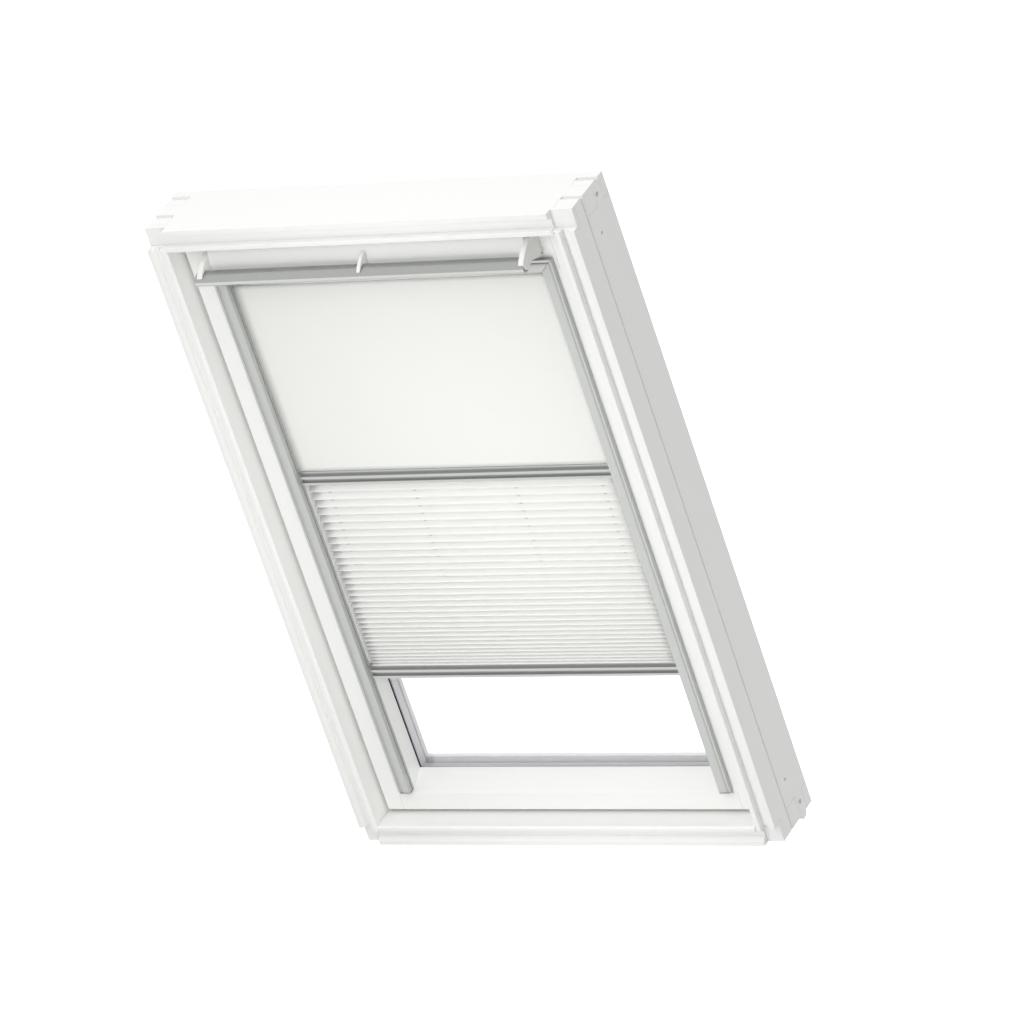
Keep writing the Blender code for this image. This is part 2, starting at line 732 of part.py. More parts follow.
def build_seals():
    inner = HALF_WIDTH - JAMB_THICKNESS - TOUCH
    face = HEAD_THICKNESS + TOUCH
    run = inner - SEAL_THICKNESS - SEAL_END_GAP
    for name, z in (("sill", face), ("head", FRAME_HEIGHT - face - SEAL_THICKNESS)):
        strip = box(f"seal_{name}", (-run, run), SEAL_DEPTHS, (z, z + SEAL_THICKNESS))
        finish(strip, SEAL_RUBBER, FRAME)
    hinge_half = HINGE_PLATE_HEIGHT / 2 + SEAL_END_GAP
    spans = {
        "lower": (face + SEAL_END_GAP, HINGE_HEIGHT - hinge_half),
        "upper": (HINGE_HEIGHT + hinge_half, FRAME_HEIGHT - face - SEAL_END_GAP),
    }
    for word, side in SIDES:
        for half, z_span in spans.items():
            x_span = sideways(side, inner - SEAL_THICKNESS, inner)
            strip = box(f"seal_{word}_{half}", x_span, SEAL_DEPTHS, z_span)
            finish(strip, SEAL_RUBBER, FRAME)


def slope_height(depth):
    """Height of the bottom rail's bevelled top at a depth."""
    run = (depth - SASH_DEPTH) / GLASS_REBATE_DEPTH
    low = SASH_BOTTOM + BOTTOM_RAIL_FACE
    return low + run * (SIGHT_BOTTOM - low)


def build_stile(word, side):
    name = f"sash_stile_{word}"
    section = [
        (SASH_HALF_WIDTH, SASH_DEPTH),
        (SEAT_HALF, SASH_DEPTH),
        (SEAT_HALF, SASH_DEPTH + CHANNEL_SEAT_DEPTH),
        (STILE_INNER, SASH_DEPTH + CHANNEL_SEAT_DEPTH),
        (SIGHT_HALF, REBATE_DEPTH),
        (REBATE_HALF, REBATE_DEPTH),
        (REBATE_HALF, SASH_BACK),
        (SASH_HALF_WIDTH, SASH_BACK),
    ]
    outline = [(side * x, depth) for x, depth in section]
    stile = extruded(name, outline, "Z", SASH_BOTTOM, SASH_TOP)
    joint = sideways(side, SIGHT_HALF - OVERSHOOT, SASH_JOINT_HALF + TOUCH)
    front = SASH_DEPTH - OVERSHOOT
    top_outline = [
        (front, SASH_TOP + OVERSHOOT),
        (front, SIGHT_TOP - TOUCH),
        (REBATE_DEPTH + TOUCH, SIGHT_TOP - TOUCH),
        (REBATE_DEPTH + TOUCH, REBATE_TOP - TOUCH),
        (SASH_BACK + OVERSHOOT, REBATE_TOP - TOUCH),
        (SASH_BACK + OVERSHOOT, SASH_TOP + OVERSHOOT),
    ]
    top_rail = extruded(f"cut_{name}_top_rail", top_outline, "X", *sorted(joint))
    slope = (SIGHT_BOTTOM - SASH_BOTTOM - BOTTOM_RAIL_FACE) / GLASS_REBATE_DEPTH
    lift = TOUCH * math.hypot(1, slope)
    rail_outline = [
        (front, SASH_BOTTOM - OVERSHOOT),
        (front, slope_height(front) + lift),
        (REBATE_DEPTH + TOUCH, slope_height(REBATE_DEPTH + TOUCH) + lift),
        (REBATE_DEPTH + TOUCH, REBATE_BOTTOM + TOUCH),
        (SASH_BACK + OVERSHOOT, REBATE_BOTTOM + TOUCH),
        (SASH_BACK + OVERSHOOT, SASH_BOTTOM - OVERSHOOT),
    ]
    bottom_rail = extruded(f"cut_{name}_bottom_rail", rail_outline, "X", *sorted(joint))
    seat_width = HINGE_PLATE_WIDTH / 2 + TOUCH
    seat_height = HINGE_PLATE_HEIGHT / 2 + TOUCH
    plate_seat = box(
        f"cut_{name}_hinge",
        sideways(side, SASH_HALF_WIDTH - HINGE_PLATE_THICKNESS - TOUCH, HALF_WIDTH),
        (HINGE_DEPTH - seat_width, HINGE_DEPTH + seat_width),
        (HINGE_HEIGHT - seat_height, HINGE_HEIGHT + seat_height),
    )
    bore_end = SASH_HALF_WIDTH - HINGE_PLATE_THICKNESS - HINGE_PIN_REACH - HINGE_BORE_SPARE
    bore = rod_along_x(
        f"cut_{name}_bore",
        HINGE_PIN_RADIUS + HINGE_PIN_CLEARANCE,
        sideways(side, bore_end, HALF_WIDTH),
        HINGE_DEPTH,
        HINGE_HEIGHT,
    )
    casing_pocket = box(
        f"cut_{name}_casing",
        sideways(side, 0, CASING_REAR_HALF + TOUCH),
        (SASH_DEPTH + CHANNEL_SEAT_DEPTH - HALF_TOUCH, CASING_REAR_DEPTH + TOUCH),
        (CASING_BOTTOM - CASING_REAR_HEIGHT - TOUCH, SIGHT_TOP + OVERSHOOT),
    )
    cut(stile, SASH, [top_rail, bottom_rail, plate_seat, bore, casing_pocket])
    finish(stile, WHITE_PAINT, SASH)


def build_rails():
    bottom_outline = [
        (SASH_DEPTH, SASH_BOTTOM),
        (SASH_DEPTH, SASH_BOTTOM + BOTTOM_RAIL_FACE),
        (REBATE_DEPTH, SIGHT_BOTTOM),
        (REBATE_DEPTH, REBATE_BOTTOM),
        (SASH_BACK, REBATE_BOTTOM),
        (SASH_BACK, SASH_BOTTOM),
    ]
    bottom = extruded("sash_bottom_rail", bottom_outline, "X", -RAIL_HALF, RAIL_HALF)
    finish(bottom, WHITE_PAINT, SASH)

    top_outline = [
        (SASH_DEPTH, SASH_TOP),
        (SASH_DEPTH, SIGHT_TOP),
        (REBATE_DEPTH, SIGHT_TOP),
        (REBATE_DEPTH, REBATE_TOP),
        (SASH_BACK, REBATE_TOP),
        (SASH_BACK, SASH_TOP),
    ]
    top = extruded("sash_top_rail", top_outline, "X", -RAIL_HALF, RAIL_HALF)
    half_x, half_y = housing_half_sizes()
    pocket = box(
        "cut_latch_housing",
        (-half_x - TOUCH, half_x + TOUCH),
        (LATCH_DEPTH - half_y - TOUCH, LATCH_DEPTH + half_y + TOUCH),
        (SASH_TOP - HOUSING_HEIGHT - TOUCH, SASH_TOP + OVERSHOOT),
    )
    cut(top, SASH, [pocket])
    finish(top, WHITE_PAINT, SASH)


def rectangle(half_width, bottom, top):
    return [(-half_width, bottom), (half_width, bottom), (half_width, top), (-half_width, top)]


def glass_limits(cover):
    """Half width, bottom and top of a rectangle that lies `cover` inside the glass edge."""
    edge = cover + TOUCH
    return REBATE_HALF - edge, REBATE_BOTTOM + edge, REBATE_TOP - edge


def ring(name, outer, inner, start, end):
    return extruded(name, rectangle(*outer), "Y", start, end, rectangle(*inner))


def build_glass():
    outer = glass_limits(0)
    back = GLASS_DEPTH + UNIT_THICKNESS
    panes = {
        "glass_inner": (GLASS_DEPTH, GLASS_DEPTH + PANE_THICKNESS),
        "glass_outer": (back - PANE_THICKNESS, back),
    }
    for name, depths in panes.items():
        pane = box(name, (-outer[0], outer[0]), depths, outer[1:])
        finish(pane, GLASS, SASH)

    sight = (SIGHT_HALF - GASKET_LIP, SIGHT_BOTTOM + GASKET_LIP, SIGHT_TOP - GASKET_LIP)
    seat = (sight[0] + SPACER_WIDTH, sight[1] - SPACER_WIDTH, sight[2] + SPACER_WIDTH)
    spacer_front = GLASS_DEPTH + PANE_THICKNESS + TOUCH
    spacer = ring("glass_spacer", seat, sight, spacer_front, back - PANE_THICKNESS - TOUCH)
    finish(spacer, SPACER, SASH)

    gasket_outer = (
        sight[0] + GASKET_WIDTH,
        sight[1] - BOTTOM_RAIL_REBATE - GASKET_EDGE_SPARE,
        sight[2] + GASKET_WIDTH,
    )
    gasket = ring(
        "glass_gasket", gasket_outer, sight, GASKET_DEPTH, GASKET_DEPTH + GASKET_THICKNESS
    )
    finish(gasket, SEAL_RUBBER, SASH)


def build_glazing_beads():
    half, bottom, top = glass_limits(0)
    depths = (GLASS_DEPTH + UNIT_THICKNESS + TOUCH, SASH_BACK)
    for name, z_span in (
        ("glazing_bead_bottom", (bottom, bottom + BEAD_COVER)),
        ("glazing_bead_top", (top - BEAD_COVER, top)),
    ):
        finish(box(name, (-half, half), depths, z_span), WHITE_ALUMINIUM, SASH)
    for word, side in SIDES:
        bead = box(
            f"glazing_bead_{word}",
            sideways(side, half - BEAD_COVER, half),
            depths,
            (bottom + BEAD_COVER + TOUCH, top - BEAD_COVER - TOUCH),
        )
        finish(bead, WHITE_ALUMINIUM, SASH)


def on_sash(points):
    """An outline's set-outs and rises as (depth, z)."""
    return [(SASH_DEPTH - out, SIGHT_TOP + rise) for out, rise in points]


def pivot_corner():
    """The flap ends' lower rear corner, round about the flap's pivot."""
    points = []
    for step in range(PIVOT_CORNER_STEPS + 1):
        angle = -PIVOT_CORNER_TURN * step / PIVOT_CORNER_STEPS
        depth = FLAP_PIVOT_DEPTH + FLAP_PIVOT_ROUND * math.cos(angle)
        points.append((depth, FLAP_PIVOT_HEIGHT + FLAP_PIVOT_ROUND * math.sin(angle)))
    return points


def offset_outline(points, distance):
    """An open line of points, moved sideways by a distance (positive to the right)."""
    moved = []
    for index, point in enumerate(points):
        before = Vector(points[max(index - 1, 0)])
        after = Vector(points[min(index + 1, len(points) - 1)])
        along = (after - before).normalized()
        normal = Vector((along.y, -along.x))
        moved.append(tuple(Vector(point) + normal * distance))
    return moved


def bar_clearance(name, start, end):
    """Room for the control bar in a flap end or rib."""
    face = offset_outline(on_sash(BAR_FACE), TOUCH)
    inner = offset_outline(on_sash(BAR_FACE), -BAR_WALL - TOUCH)
    return extruded(name, face + list(reversed(inner)), "X", start, end)


def build_flap_ends():
    outline = on_sash([FLAP_BACK_CORNER, *FLAP_CREST, *FLAP_UNDERSIDE])
    outline += reversed(pivot_corner())
    for word, side in SIDES:
        name = f"flap_end_{word}"
        start, end = sorted(sideways(side, FLAP_HALF_SPAN - FLAP_END_THICKNESS, FLAP_HALF_SPAN))
        plate = extruded(name, outline, "X", start, end)
        bar_end = FLAP_HALF_SPAN - BAR_END_SETBACK + TOUCH if side > 0 else end + OVERSHOOT
        tools = [
            bar_clearance(f"cut_{name}_bar", start - OVERSHOOT, bar_end),
            rod_along_x(
                f"cut_{name}_pivot",
                FLAP_PIN_RADIUS + FLAP_PIN_CLEARANCE,
                (start - OVERSHOOT, end + OVERSHOOT),
                FLAP_PIVOT_DEPTH,
                FLAP_PIVOT_HEIGHT,
            ),
        ]
        cut(plate, FLAP, tools)
        finish(plate, WHITE_PLASTIC, FLAP)


def build_flap_rib():
    face = offset_outline(on_sash(PANEL_FACE), TOUCH)
    edge = on_sash([*FLAP_CREST[1:], *FLAP_UNDERSIDE[:2]])
    outline = [face[1], *edge, face[3], face[2]]
    half = FLAP_RIB_THICKNESS / 2
    rib = extruded("flap_rib", outline, "X", -half, half)
    cut(rib, FLAP, [bar_clearance("cut_flap_rib_bar", -half - OVERSHOOT, half + OVERSHOOT)])
    finish(rib, WHITE_PLASTIC, FLAP)


def build_flap_panel():
    face = on_sash(PANEL_FACE)
    back = offset_outline(face, -FLAP_PANEL_THICKNESS)
    outline = face + list(reversed(back))
    panel = extruded("flap_panel", outline, "X", -FLAP_PANEL_HALF, FLAP_PANEL_HALF)
    finish(panel, WHITE_ALUMINIUM, FLAP)


def build_control_bar():
    face = on_sash(BAR_FACE)
    back = offset_outline(face, -BAR_WALL)
    outline = face + list(reversed(back))
    bar = extruded(
        "control_bar",
        outline,
        "X",
        -FLAP_HALF_SPAN - BAR_END_OVERHANG,
        FLAP_HALF_SPAN - BAR_END_SETBACK,
    )
    finish(bar, GREY_ANODISED, FLAP)


def build_flap_brackets():
    end_inner = FLAP_HALF_SPAN - FLAP_END_THICKNESS - TOUCH
    for word, side in SIDES:
        block = box(
            f"flap_bracket_{word}",
            sideways(side, end_inner - FLAP_BRACKET_WIDTH, end_inner),
            (FLAP_PIVOT_DEPTH - FLAP_BRACKET_HALF, SASH_DEPTH - TOUCH),
            (FLAP_PIVOT_HEIGHT - FLAP_BRACKET_HALF, FLAP_PIVOT_HEIGHT + FLAP_BRACKET_HALF),
        )
        pin = rod_along_x(
            f"flap_pin_{word}",
            FLAP_PIN_RADIUS,
            sideways(side, end_inner - FLAP_BRACKET_WIDTH / 2, FLAP_HALF_SPAN - FLAP_PIN_SPARE),
            FLAP_PIVOT_DEPTH,
            FLAP_PIVOT_HEIGHT,
        )
        join(block, SASH, [pin])
        finish(block, ZINC, SASH)


def housing_half_sizes():
    return BOLT_HALF_WIDTH + TOUCH + HOUSING_WALL_X, BOLT_THICKNESS / 2 + TOUCH + HOUSING_WALL_Y


def build_latch():
    half_x, half_y = housing_half_sizes()
    housing = box(
        "latch_housing",
        (-half_x, half_x),
        (LATCH_DEPTH - half_y, LATCH_DEPTH + half_y),
        (SASH_TOP - HOUSING_HEIGHT, SASH_TOP),
    )
    guide_x = BOLT_HALF_WIDTH + TOUCH
    guide_y = BOLT_THICKNESS / 2 + TOUCH
    guide = box(
        "cut_latch_guide",
        (-guide_x, guide_x),
        (LATCH_DEPTH - guide_y, LATCH_DEPTH + guide_y),
        (SASH_TOP - HOUSING_HEIGHT - OVERSHOOT, SASH_TOP + OVERSHOOT),
    )
    cut(housing, SASH, [guide])
    finish(housing, ZINC, SASH)

    tip = FRAME_HEIGHT - HEAD_THICKNESS - BOLT_TIP_CLEARANCE
    bolt = box(
        "latch_bolt",
        (-BOLT_HALF_WIDTH, BOLT_HALF_WIDTH),
        (LATCH_DEPTH - BOLT_THICKNESS / 2, LATCH_DEPTH + BOLT_THICKNESS / 2),
        (tip - BOLT_LENGTH, tip),
    )
    finish(bolt, ZINC, BOLT)


def ribbed_face(outer, inner, towards_inner):
    """The front shared by the channels and the casing, as (across, depth) pairs: the outer
    rib, a groove, and a face that swells from the groove to the inner lip."""
    recess = CHANNEL_FACE_DEPTH + CHANNEL_RECESS
    rib_end = outer + towards_inner * CHANNEL_RIB
    dome_start = rib_end + towards_inner * CHANNEL_GROOVE
    dome_end = inner - towards_inner * CHANNEL_LIP
    dome = []
    for step in range(1, CHANNEL_DOME_STEPS + 1):
        turn = math.radians(90) * step / CHANNEL_DOME_STEPS
        across = dome_start + (dome_end - dome_start) * (1 - math.cos(turn))
        dome.append((across, recess - CHANNEL_RECESS * math.sin(turn)))
    return [
        (outer, SASH_DEPTH - TOUCH),
        (outer, CHANNEL_FACE_DEPTH),
        (rib_end, CHANNEL_FACE_DEPTH),
        (rib_end, recess),
        (dome_start, recess),
        *dome,
        (inner, CHANNEL_FACE_DEPTH),
    ]


def mitre_tool(name, side, keep_below, depths):
    """A wedge on one side of the 45 degree joint between a channel and the casing."""
    gap = HALF_TOUCH * math.sqrt(2)
    shift = -gap if keep_below else gap
    far = CHANNEL_OUTER + OVERSHOOT
    near = CHANNEL_INNER - OVERSHOOT
    line = [
        (side * near, MITRE_Z_AT_CENTRE + near + shift),
        (side * far, MITRE_Z_AT_CENTRE + far + shift),
    ]
    corner = (side * near, line[1][1]) if keep_below else (side * far, line[0][1])
    return extruded(name, [*line, corner], "Y", *depths)


def build_channel(word, side):
    name = f"channel_{word}"
    inner = CHANNEL_INNER
    wall = CHANNEL_WALL
    back = SASH_DEPTH + CHANNEL_SEAT_DEPTH - TOUCH - HALF_TOUCH
    cavity_front = CHANNEL_FACE_DEPTH + CHANNEL_RECESS + wall
    cavity_outer = SEAT_HALF - TOUCH - wall
    section = [
        *ribbed_face(CHANNEL_OUTER, inner, -1),
        (inner, SLOT_DEPTHS[0]),
        (inner + wall, SLOT_DEPTHS[0]),
        (inner + wall, cavity_front),
        (cavity_outer, cavity_front),
        (cavity_outer, back - wall),
        (inner + wall, back - wall),
        (inner + wall, SLOT_DEPTHS[1]),
        (inner, SLOT_DEPTHS[1]),
        (inner, back),
        (SEAT_HALF - TOUCH, back),
        (SEAT_HALF - TOUCH, SASH_DEPTH - TOUCH),
    ]
    outline = [(side * x, depth) for x, depth in section]
    bottom = CHANNEL_BOTTOM + CHANNEL_FOOT_HEIGHT
    channel = extruded(name, outline, "Z", bottom, CASING_TOP)
    around = (CHANNEL_FACE_DEPTH - OVERSHOOT, back + OVERSHOOT)
    behind = box(
        f"cut_{name}_behind",
        sideways(side, inner - OVERSHOOT, CHANNEL_OUTER + OVERSHOOT),
        (SASH_DEPTH - TOUCH, back + OVERSHOOT),
        (CASING_BOTTOM - TOUCH, CASING_TOP + OVERSHOOT),
    )
    cut(channel, SASH, [mitre_tool(f"cut_{name}_mitre", side, True, around), behind])
    finish(channel, GREY_ANODISED, SASH)

    foot_back = back - CHANNEL_FOOT_SETBACK
    foot_outline = [
        (CHANNEL_FACE_DEPTH, CHANNEL_BOTTOM - TOUCH),
        (foot_back - CHANNEL_FOOT_HEIGHT, CHANNEL_BOTTOM - TOUCH),
        (foot_back, bottom - TOUCH),
        (CHANNEL_FACE_DEPTH, bottom - TOUCH),
    ]
    start, end = sorted(sideways(side, inner, SEAT_HALF - TOUCH))
    foot = extruded(f"channel_foot_{word}", foot_outline, "X", start, end)
    plug = box(
        f"foot_plug_{word}",
        sideways(side, inner + wall + TOUCH, cavity_outer - TOUCH),
        (cavity_front + TOUCH, foot_back - wall - TOUCH),
        (bottom - TOUCH * 2, bottom + FOOT_PLUG_HEIGHT),
    )
    join(foot, SASH, [plug])
    finish(foot, GREY_PLASTIC, SASH)


def build_casing():
    wall = CHANNEL_WALL
    rear = CASING_REAR_DEPTH
    rear_bottom = CASING_BOTTOM - CASING_REAR_HEIGHT
    recess = CHANNEL_FACE_DEPTH + CHANNEL_RECESS + wall
    front = CHANNEL_FACE_DEPTH + wall
    face = [(depth, z) for z, depth in ribbed_face(CASING_TOP, CASING_BOTTOM, -1)]
    outline = [
        *face,
        (rear - wall, CASING_BOTTOM),
        (rear - wall, rear_bottom),
        (rear, rear_bottom),
        (rear, CASING_BOTTOM + wall),
        (front, CASING_BOTTOM + wall),
        (front, CASING_BOTTOM + CHANNEL_LIP - wall),
        (recess, CASING_BOTTOM + CHANNEL_LIP - wall),
        (recess, CASING_TOP - wall),
        (SASH_DEPTH - TOUCH, CASING_TOP - wall),
    ]
    casing = extruded("blind_casing", outline, "X", -CHANNEL_OUTER, CHANNEL_OUTER)
    front_depths = (CHANNEL_FACE_DEPTH - OVERSHOOT, SASH_DEPTH - TOUCH)
    seat_back = SASH_DEPTH + CHANNEL_SEAT_DEPTH
    heights = (rear_bottom - OVERSHOOT, CASING_TOP + OVERSHOOT)
    far = CHANNEL_OUTER + OVERSHOOT
    tools = []
    for word, side in SIDES:
        tools.append(mitre_tool(f"cut_casing_mitre_{word}", side, False, front_depths))
        beside = sideways(side, CHANNEL_INNER - TOUCH, far)
        middle_depths = (SASH_DEPTH - TOUCH - HALF_TOUCH, seat_back)
        tools.append(box(f"cut_casing_beside_{word}", beside, middle_depths, heights))
        behind = sideways(side, CASING_REAR_HALF, far)
        rear_depths = (seat_back - HALF_TOUCH, rear + OVERSHOOT)
        tools.append(box(f"cut_casing_behind_{word}", behind, rear_depths, heights))
    cut(casing, SASH, tools)
    finish(casing, GREY_ANODISED, SASH)

    for word, side in SIDES:
        cap = box(
            f"casing_end_{word}",
            sideways(side, CASING_REAR_HALF - CASING_CAP_THICKNESS, CASING_REAR_HALF),
            (seat_back, rear - wall - TOUCH),
            (rear_bottom, CASING_BOTTOM - TOUCH),
        )
        bore = rod_along_x(
            f"cut_casing_end_{word}",
            ROLLER_PIN_RADIUS + TOUCH,
            sideways(side, CASING_REAR_HALF - OVERSHOOT, CASING_REAR_HALF + OVERSHOOT),
            ROLLER_DEPTH,
            ROLLER_HEIGHT,
        )
        cut(cap, SASH, [bore])
        finish(cap, GREY_PLASTIC, SASH)


def pipe_along_x(name, radius, inner_radius, half_length, parent):
    pipe = rod_along_x(name, radius, (-half_length, half_length), ROLLER_DEPTH, ROLLER_HEIGHT)
    reach = half_length + OVERSHOOT
    bore = rod_along_x(f"cut_{name}", inner_radius, (-reach, reach), ROLLER_DEPTH, ROLLER_HEIGHT)
    return cut(pipe, parent, [bore])


def build_roller():
    half = CASING_REAR_HALF - CASING_CAP_THICKNESS - TOUCH
    bore = ROLLER_RADIUS - ROLLER_WALL
    tube = pipe_along_x("roller_tube", ROLLER_RADIUS, bore, half, ROLLER)
    finish(tube, GREY_ANODISED, ROLLER)
    roll = pipe_along_x("cloth_roll", ROLL_RADIUS, ROLLER_RADIUS + TOUCH, half - TOUCH, ROLLER)
    finish(roll, BLACKOUT, ROLLER)
    for word, side in SIDES:
        shaft_end = ROLLER_PLUG_LENGTH + TOUCH + CASING_CAP_THICKNESS
        profile = [
            (0, 0),
            (0, ROLLER_PIN_RADIUS),
            (CASING_CAP_THICKNESS + TOUCH, ROLLER_PIN_RADIUS),
            (CASING_CAP_THICKNESS + TOUCH, bore - TOUCH),
            (shaft_end, bore - TOUCH),
            (shaft_end, 0),
        ]
        pin = turned_along_x(
            f"roller_pin_{word}",
            profile,
            side * CASING_REAR_HALF,
            side,
            ROLLER_DEPTH,
            ROLLER_HEIGHT,
        )
        finish(pin, GREY_PLASTIC, ROLLER)
    build_roller_spring(bore)


def build_roller_spring(bore):
    radius = bore - TOUCH - SPRING_WIRE_RADIUS
    curve = bpy.data.curves.new("roller_spring", "CURVE")
    curve.dimensions = "3D"
    curve.bevel_depth = SPRING_WIRE_RADIUS
    curve.bevel_resolution = 1
    curve.use_fill_caps = True
    spline = curve.splines.new("POLY")
    count = SPRING_TURNS * SPRING_POINTS + 1
    spline.points.add(count - 1)
    start = -CASING_REAR_HALF + ROLLER_PLUG_LENGTH + SPRING_START
    for index, point in enumerate(spline.points):
        angle = 2 * math.pi * index / SPRING_POINTS
        along = start + SPRING_PITCH * index / SPRING_POINTS
        point.co = (along, radius * math.cos(angle), radius * math.sin(angle), 1)
    source = bpy.data.objects.new("roller_spring", curve)
    source.location = (0, FRONT_Y + ROLLER_DEPTH, ROLLER_HEIGHT)
    finish(as_mesh(source), SPRING_STEEL, ROLLER)


def bar_section(top):
    """The section of a cloth's bar as (depth, z): flat band, ledge, groove and lower lip."""
    nose = SASH_DEPTH - BAR_NOSE_PROUD
    floor = SASH_DEPTH + BAR_GROOVE_SETBACK
    band = SASH_DEPTH + BAR_TOP_FACE_SETBACK
    back = SASH_DEPTH + BAR_BACK_SETBACK
    ledge = top - BAR_LEDGE_DROP
    groove = ledge - BAR_LEDGE_HEIGHT
    lip = groove - BAR_GROOVE_HEIGHT
    bottom = top - BAR_HEIGHT
    return [
        (band, top),
        (band, ledge),
        (nose, ledge),
        (nose, groove),
        (floor, groove),
        (floor, lip),
        (nose, lip),
        (nose, bottom),
        (back, bottom),
        (back, top),
    ]


def bar_cavity(top, shrink):
    wall = BAR_CAVITY_WALL + shrink
    front = SASH_DEPTH + BAR_TOP_FACE_SETBACK + wall
    back = SASH_DEPTH + BAR_BACK_SETBACK - wall
    return [
        (front, top - wall),
        (front, top - BAR_HEIGHT + wall),
        (back, top - BAR_HEIGHT + wall),
        (back, top - wall),
    ]


def build_bar(name, top, parent):
    half = BLIND_HALF_SPAN - GLIDE_LENGTH - TOUCH
    bar = extruded(f"{name}_bar", bar_section(top), "X", -half, half, bar_cavity(top, 0))
    finish(bar, GREY_ANODISED, parent)
    for word, side in SIDES:
        end_span = sorted(sideways(side, BLIND_HALF_SPAN - GLIDE_LENGTH, BLIND_HALF_SPAN))
        glide = extruded(f"{name}_glide_{word}", bar_section(top), "X", *end_span)
        plug_span = sorted(sideways(side, half - GLIDE_PLUG_LENGTH, BLIND_HALF_SPAN - TOUCH))
        plug = extruded(f"{name}_plug_{word}", bar_cavity(top, TOUCH), "X", *plug_span)
        fin_top = top - (BAR_HEIGHT - GLIDE_FIN_HEIGHT) / 2
        fin_start = BLIND_HALF_SPAN - GLIDE_LENGTH / 2
        fin = box(
            f"{name}_fin_{word}",
            sideways(side, fin_start, BLIND_HALF_SPAN + GLIDE_FIN_REACH),
            (SLOT_DEPTHS[0] + TOUCH, SLOT_DEPTHS[1] - TOUCH),
            (fin_top - GLIDE_FIN_HEIGHT, fin_top),
        )
        join(glide, parent, [plug, fin])
        finish(glide, GREY_PLASTIC, parent)


def build_blackout_cloth():
    front = SASH_DEPTH + BLACKOUT_SETBACK
    cloth = box(
        "blackout_cloth",
        (-BLIND_HALF_SPAN, BLIND_HALF_SPAN),
        (front, front + BLACKOUT_THICKNESS),
        (MID_BAR_TOP + TOUCH, ROLLER_HEIGHT),
    )
    finish(cloth, BLACKOUT, SASH)


def pleat_line():
    """The pleated cloth's zigzag as (depth, z), top to bottom: both ends lie at the front, and
    the pleats close up downward."""
    top = MID_BAR_TOP - BAR_HEIGHT - TOUCH
    bottom = LOW_BAR_TOP + TOUCH
    depths = [SASH_DEPTH + setback for setback in PLEAT_SETBACKS]
    steps = 2 * PLEAT_COUNT
    shares = []
    for step in range(steps):
        closed = ((step + 0.5) / steps) ** PLEAT_CLOSING
        shares.append(PLEAT_TOP_SHARE + (PLEAT_LOW_SHARE - PLEAT_TOP_SHARE) * closed)
    scale = (top - bottom) / sum(shares)
    points = [(depths[0], top)]
    z = top
    for step, share in enumerate(shares):
        z -= share * scale
        points.append((depths[(step + 1) % 2], z))
    return points


def build_pleated_cloth():
    line = pleat_line()
    front = [(depth - PLEAT_WALL / 2, z) for depth, z in line]
    back = [(depth + PLEAT_WALL / 2, z) for depth, z in line]
    outline = front + list(reversed(back))
    cloth = extruded("pleated_cloth", outline, "X", -PLEATED_HALF_WIDTH, PLEATED_HALF_WIDTH)
    finish(cloth, PLEATED, MID)


for old in list(bpy.data.objects):
    bpy.data.objects.remove(old, do_unlink=True)

SIDES = (("left", -1), ("right", 1))
PARTS = collection(OBJECT_COLLECTION)
CUTTERS = collection("cutters")

WHITE_PAINT = material("white_paint", (0.87, 0.87, 0.87), 0.45)
WHITE_PLASTIC = material("white_plastic", (0.86, 0.87, 0.87), 0.40)
WHITE_ALUMINIUM = material("white_aluminium", (0.86, 0.86, 0.87), 0.45, 0.2)
GREY_ANODISED = material("grey_anodised", (0.47, 0.48, 0.49), 0.38, 0.8)
GREY_PLASTIC = material("grey_plastic", (0.40, 0.41, 0.42), 0.50)
ZINC = material("zinc_plate", (0.55, 0.56, 0.58), 0.35, 1.0)
SPRING_STEEL = material("spring_steel", (0.35, 0.35, 0.36), 0.40, 1.0)
SEAL_RUBBER = material("seal_rubber", (0.06, 0.06, 0.065), 0.80)
SPACER = material("spacer_metal", (0.45, 0.46, 0.47), 0.45, 0.7)
GLASS = material("clear_glass", (0.90, 0.95, 0.95), 0.03, 0.0, 0.25)
BLACKOUT = material("blackout_cloth", (0.83, 0.83, 0.79), 0.85)
PLEATED = material("pleated_cloth", (0.90, 0.90, 0.88), 0.85)

FRAME = carrier("frame_carrier", 0, FRAME_DEPTH / 2, 0)
SASH = carrier("sash_axis", 0, HINGE_DEPTH, HINGE_HEIGHT, FRAME)
FLAP = carrier("flap_axis", 0, FLAP_PIVOT_DEPTH, FLAP_PIVOT_HEIGHT, SASH)
BOLT = carrier("bolt_axis", 0, LATCH_DEPTH, SASH_TOP, SASH)
ROLLER = carrier("roller_axis", 0, ROLLER_DEPTH, ROLLER_HEIGHT, SASH)
MID = carrier("mid_bar_axis", 0, SASH_DEPTH, MID_BAR_TOP, SASH)
LOW = carrier("low_bar_axis", 0, SASH_DEPTH, LOW_BAR_TOP, MID)

build_head()
build_sill()
for side_word, side_sign in SIDES:
    build_jamb(side_word, side_sign)
    build_frame_hinge(side_word, side_sign)
    build_stile(side_word, side_sign)
    build_sash_hinge(side_word, side_sign)
    build_channel(side_word, side_sign)
build_corner_screws()
build_seals()
build_rails()
build_glass()
build_glazing_beads()
build_flap_ends()
build_flap_rib()
build_flap_panel()
build_control_bar()
build_flap_brackets()
build_latch()
build_casing()
build_roller()
build_bar("mid", MID_BAR_TOP, MID)
build_bar("low", LOW_BAR_TOP, LOW)
build_blackout_cloth()
build_pleated_cloth()
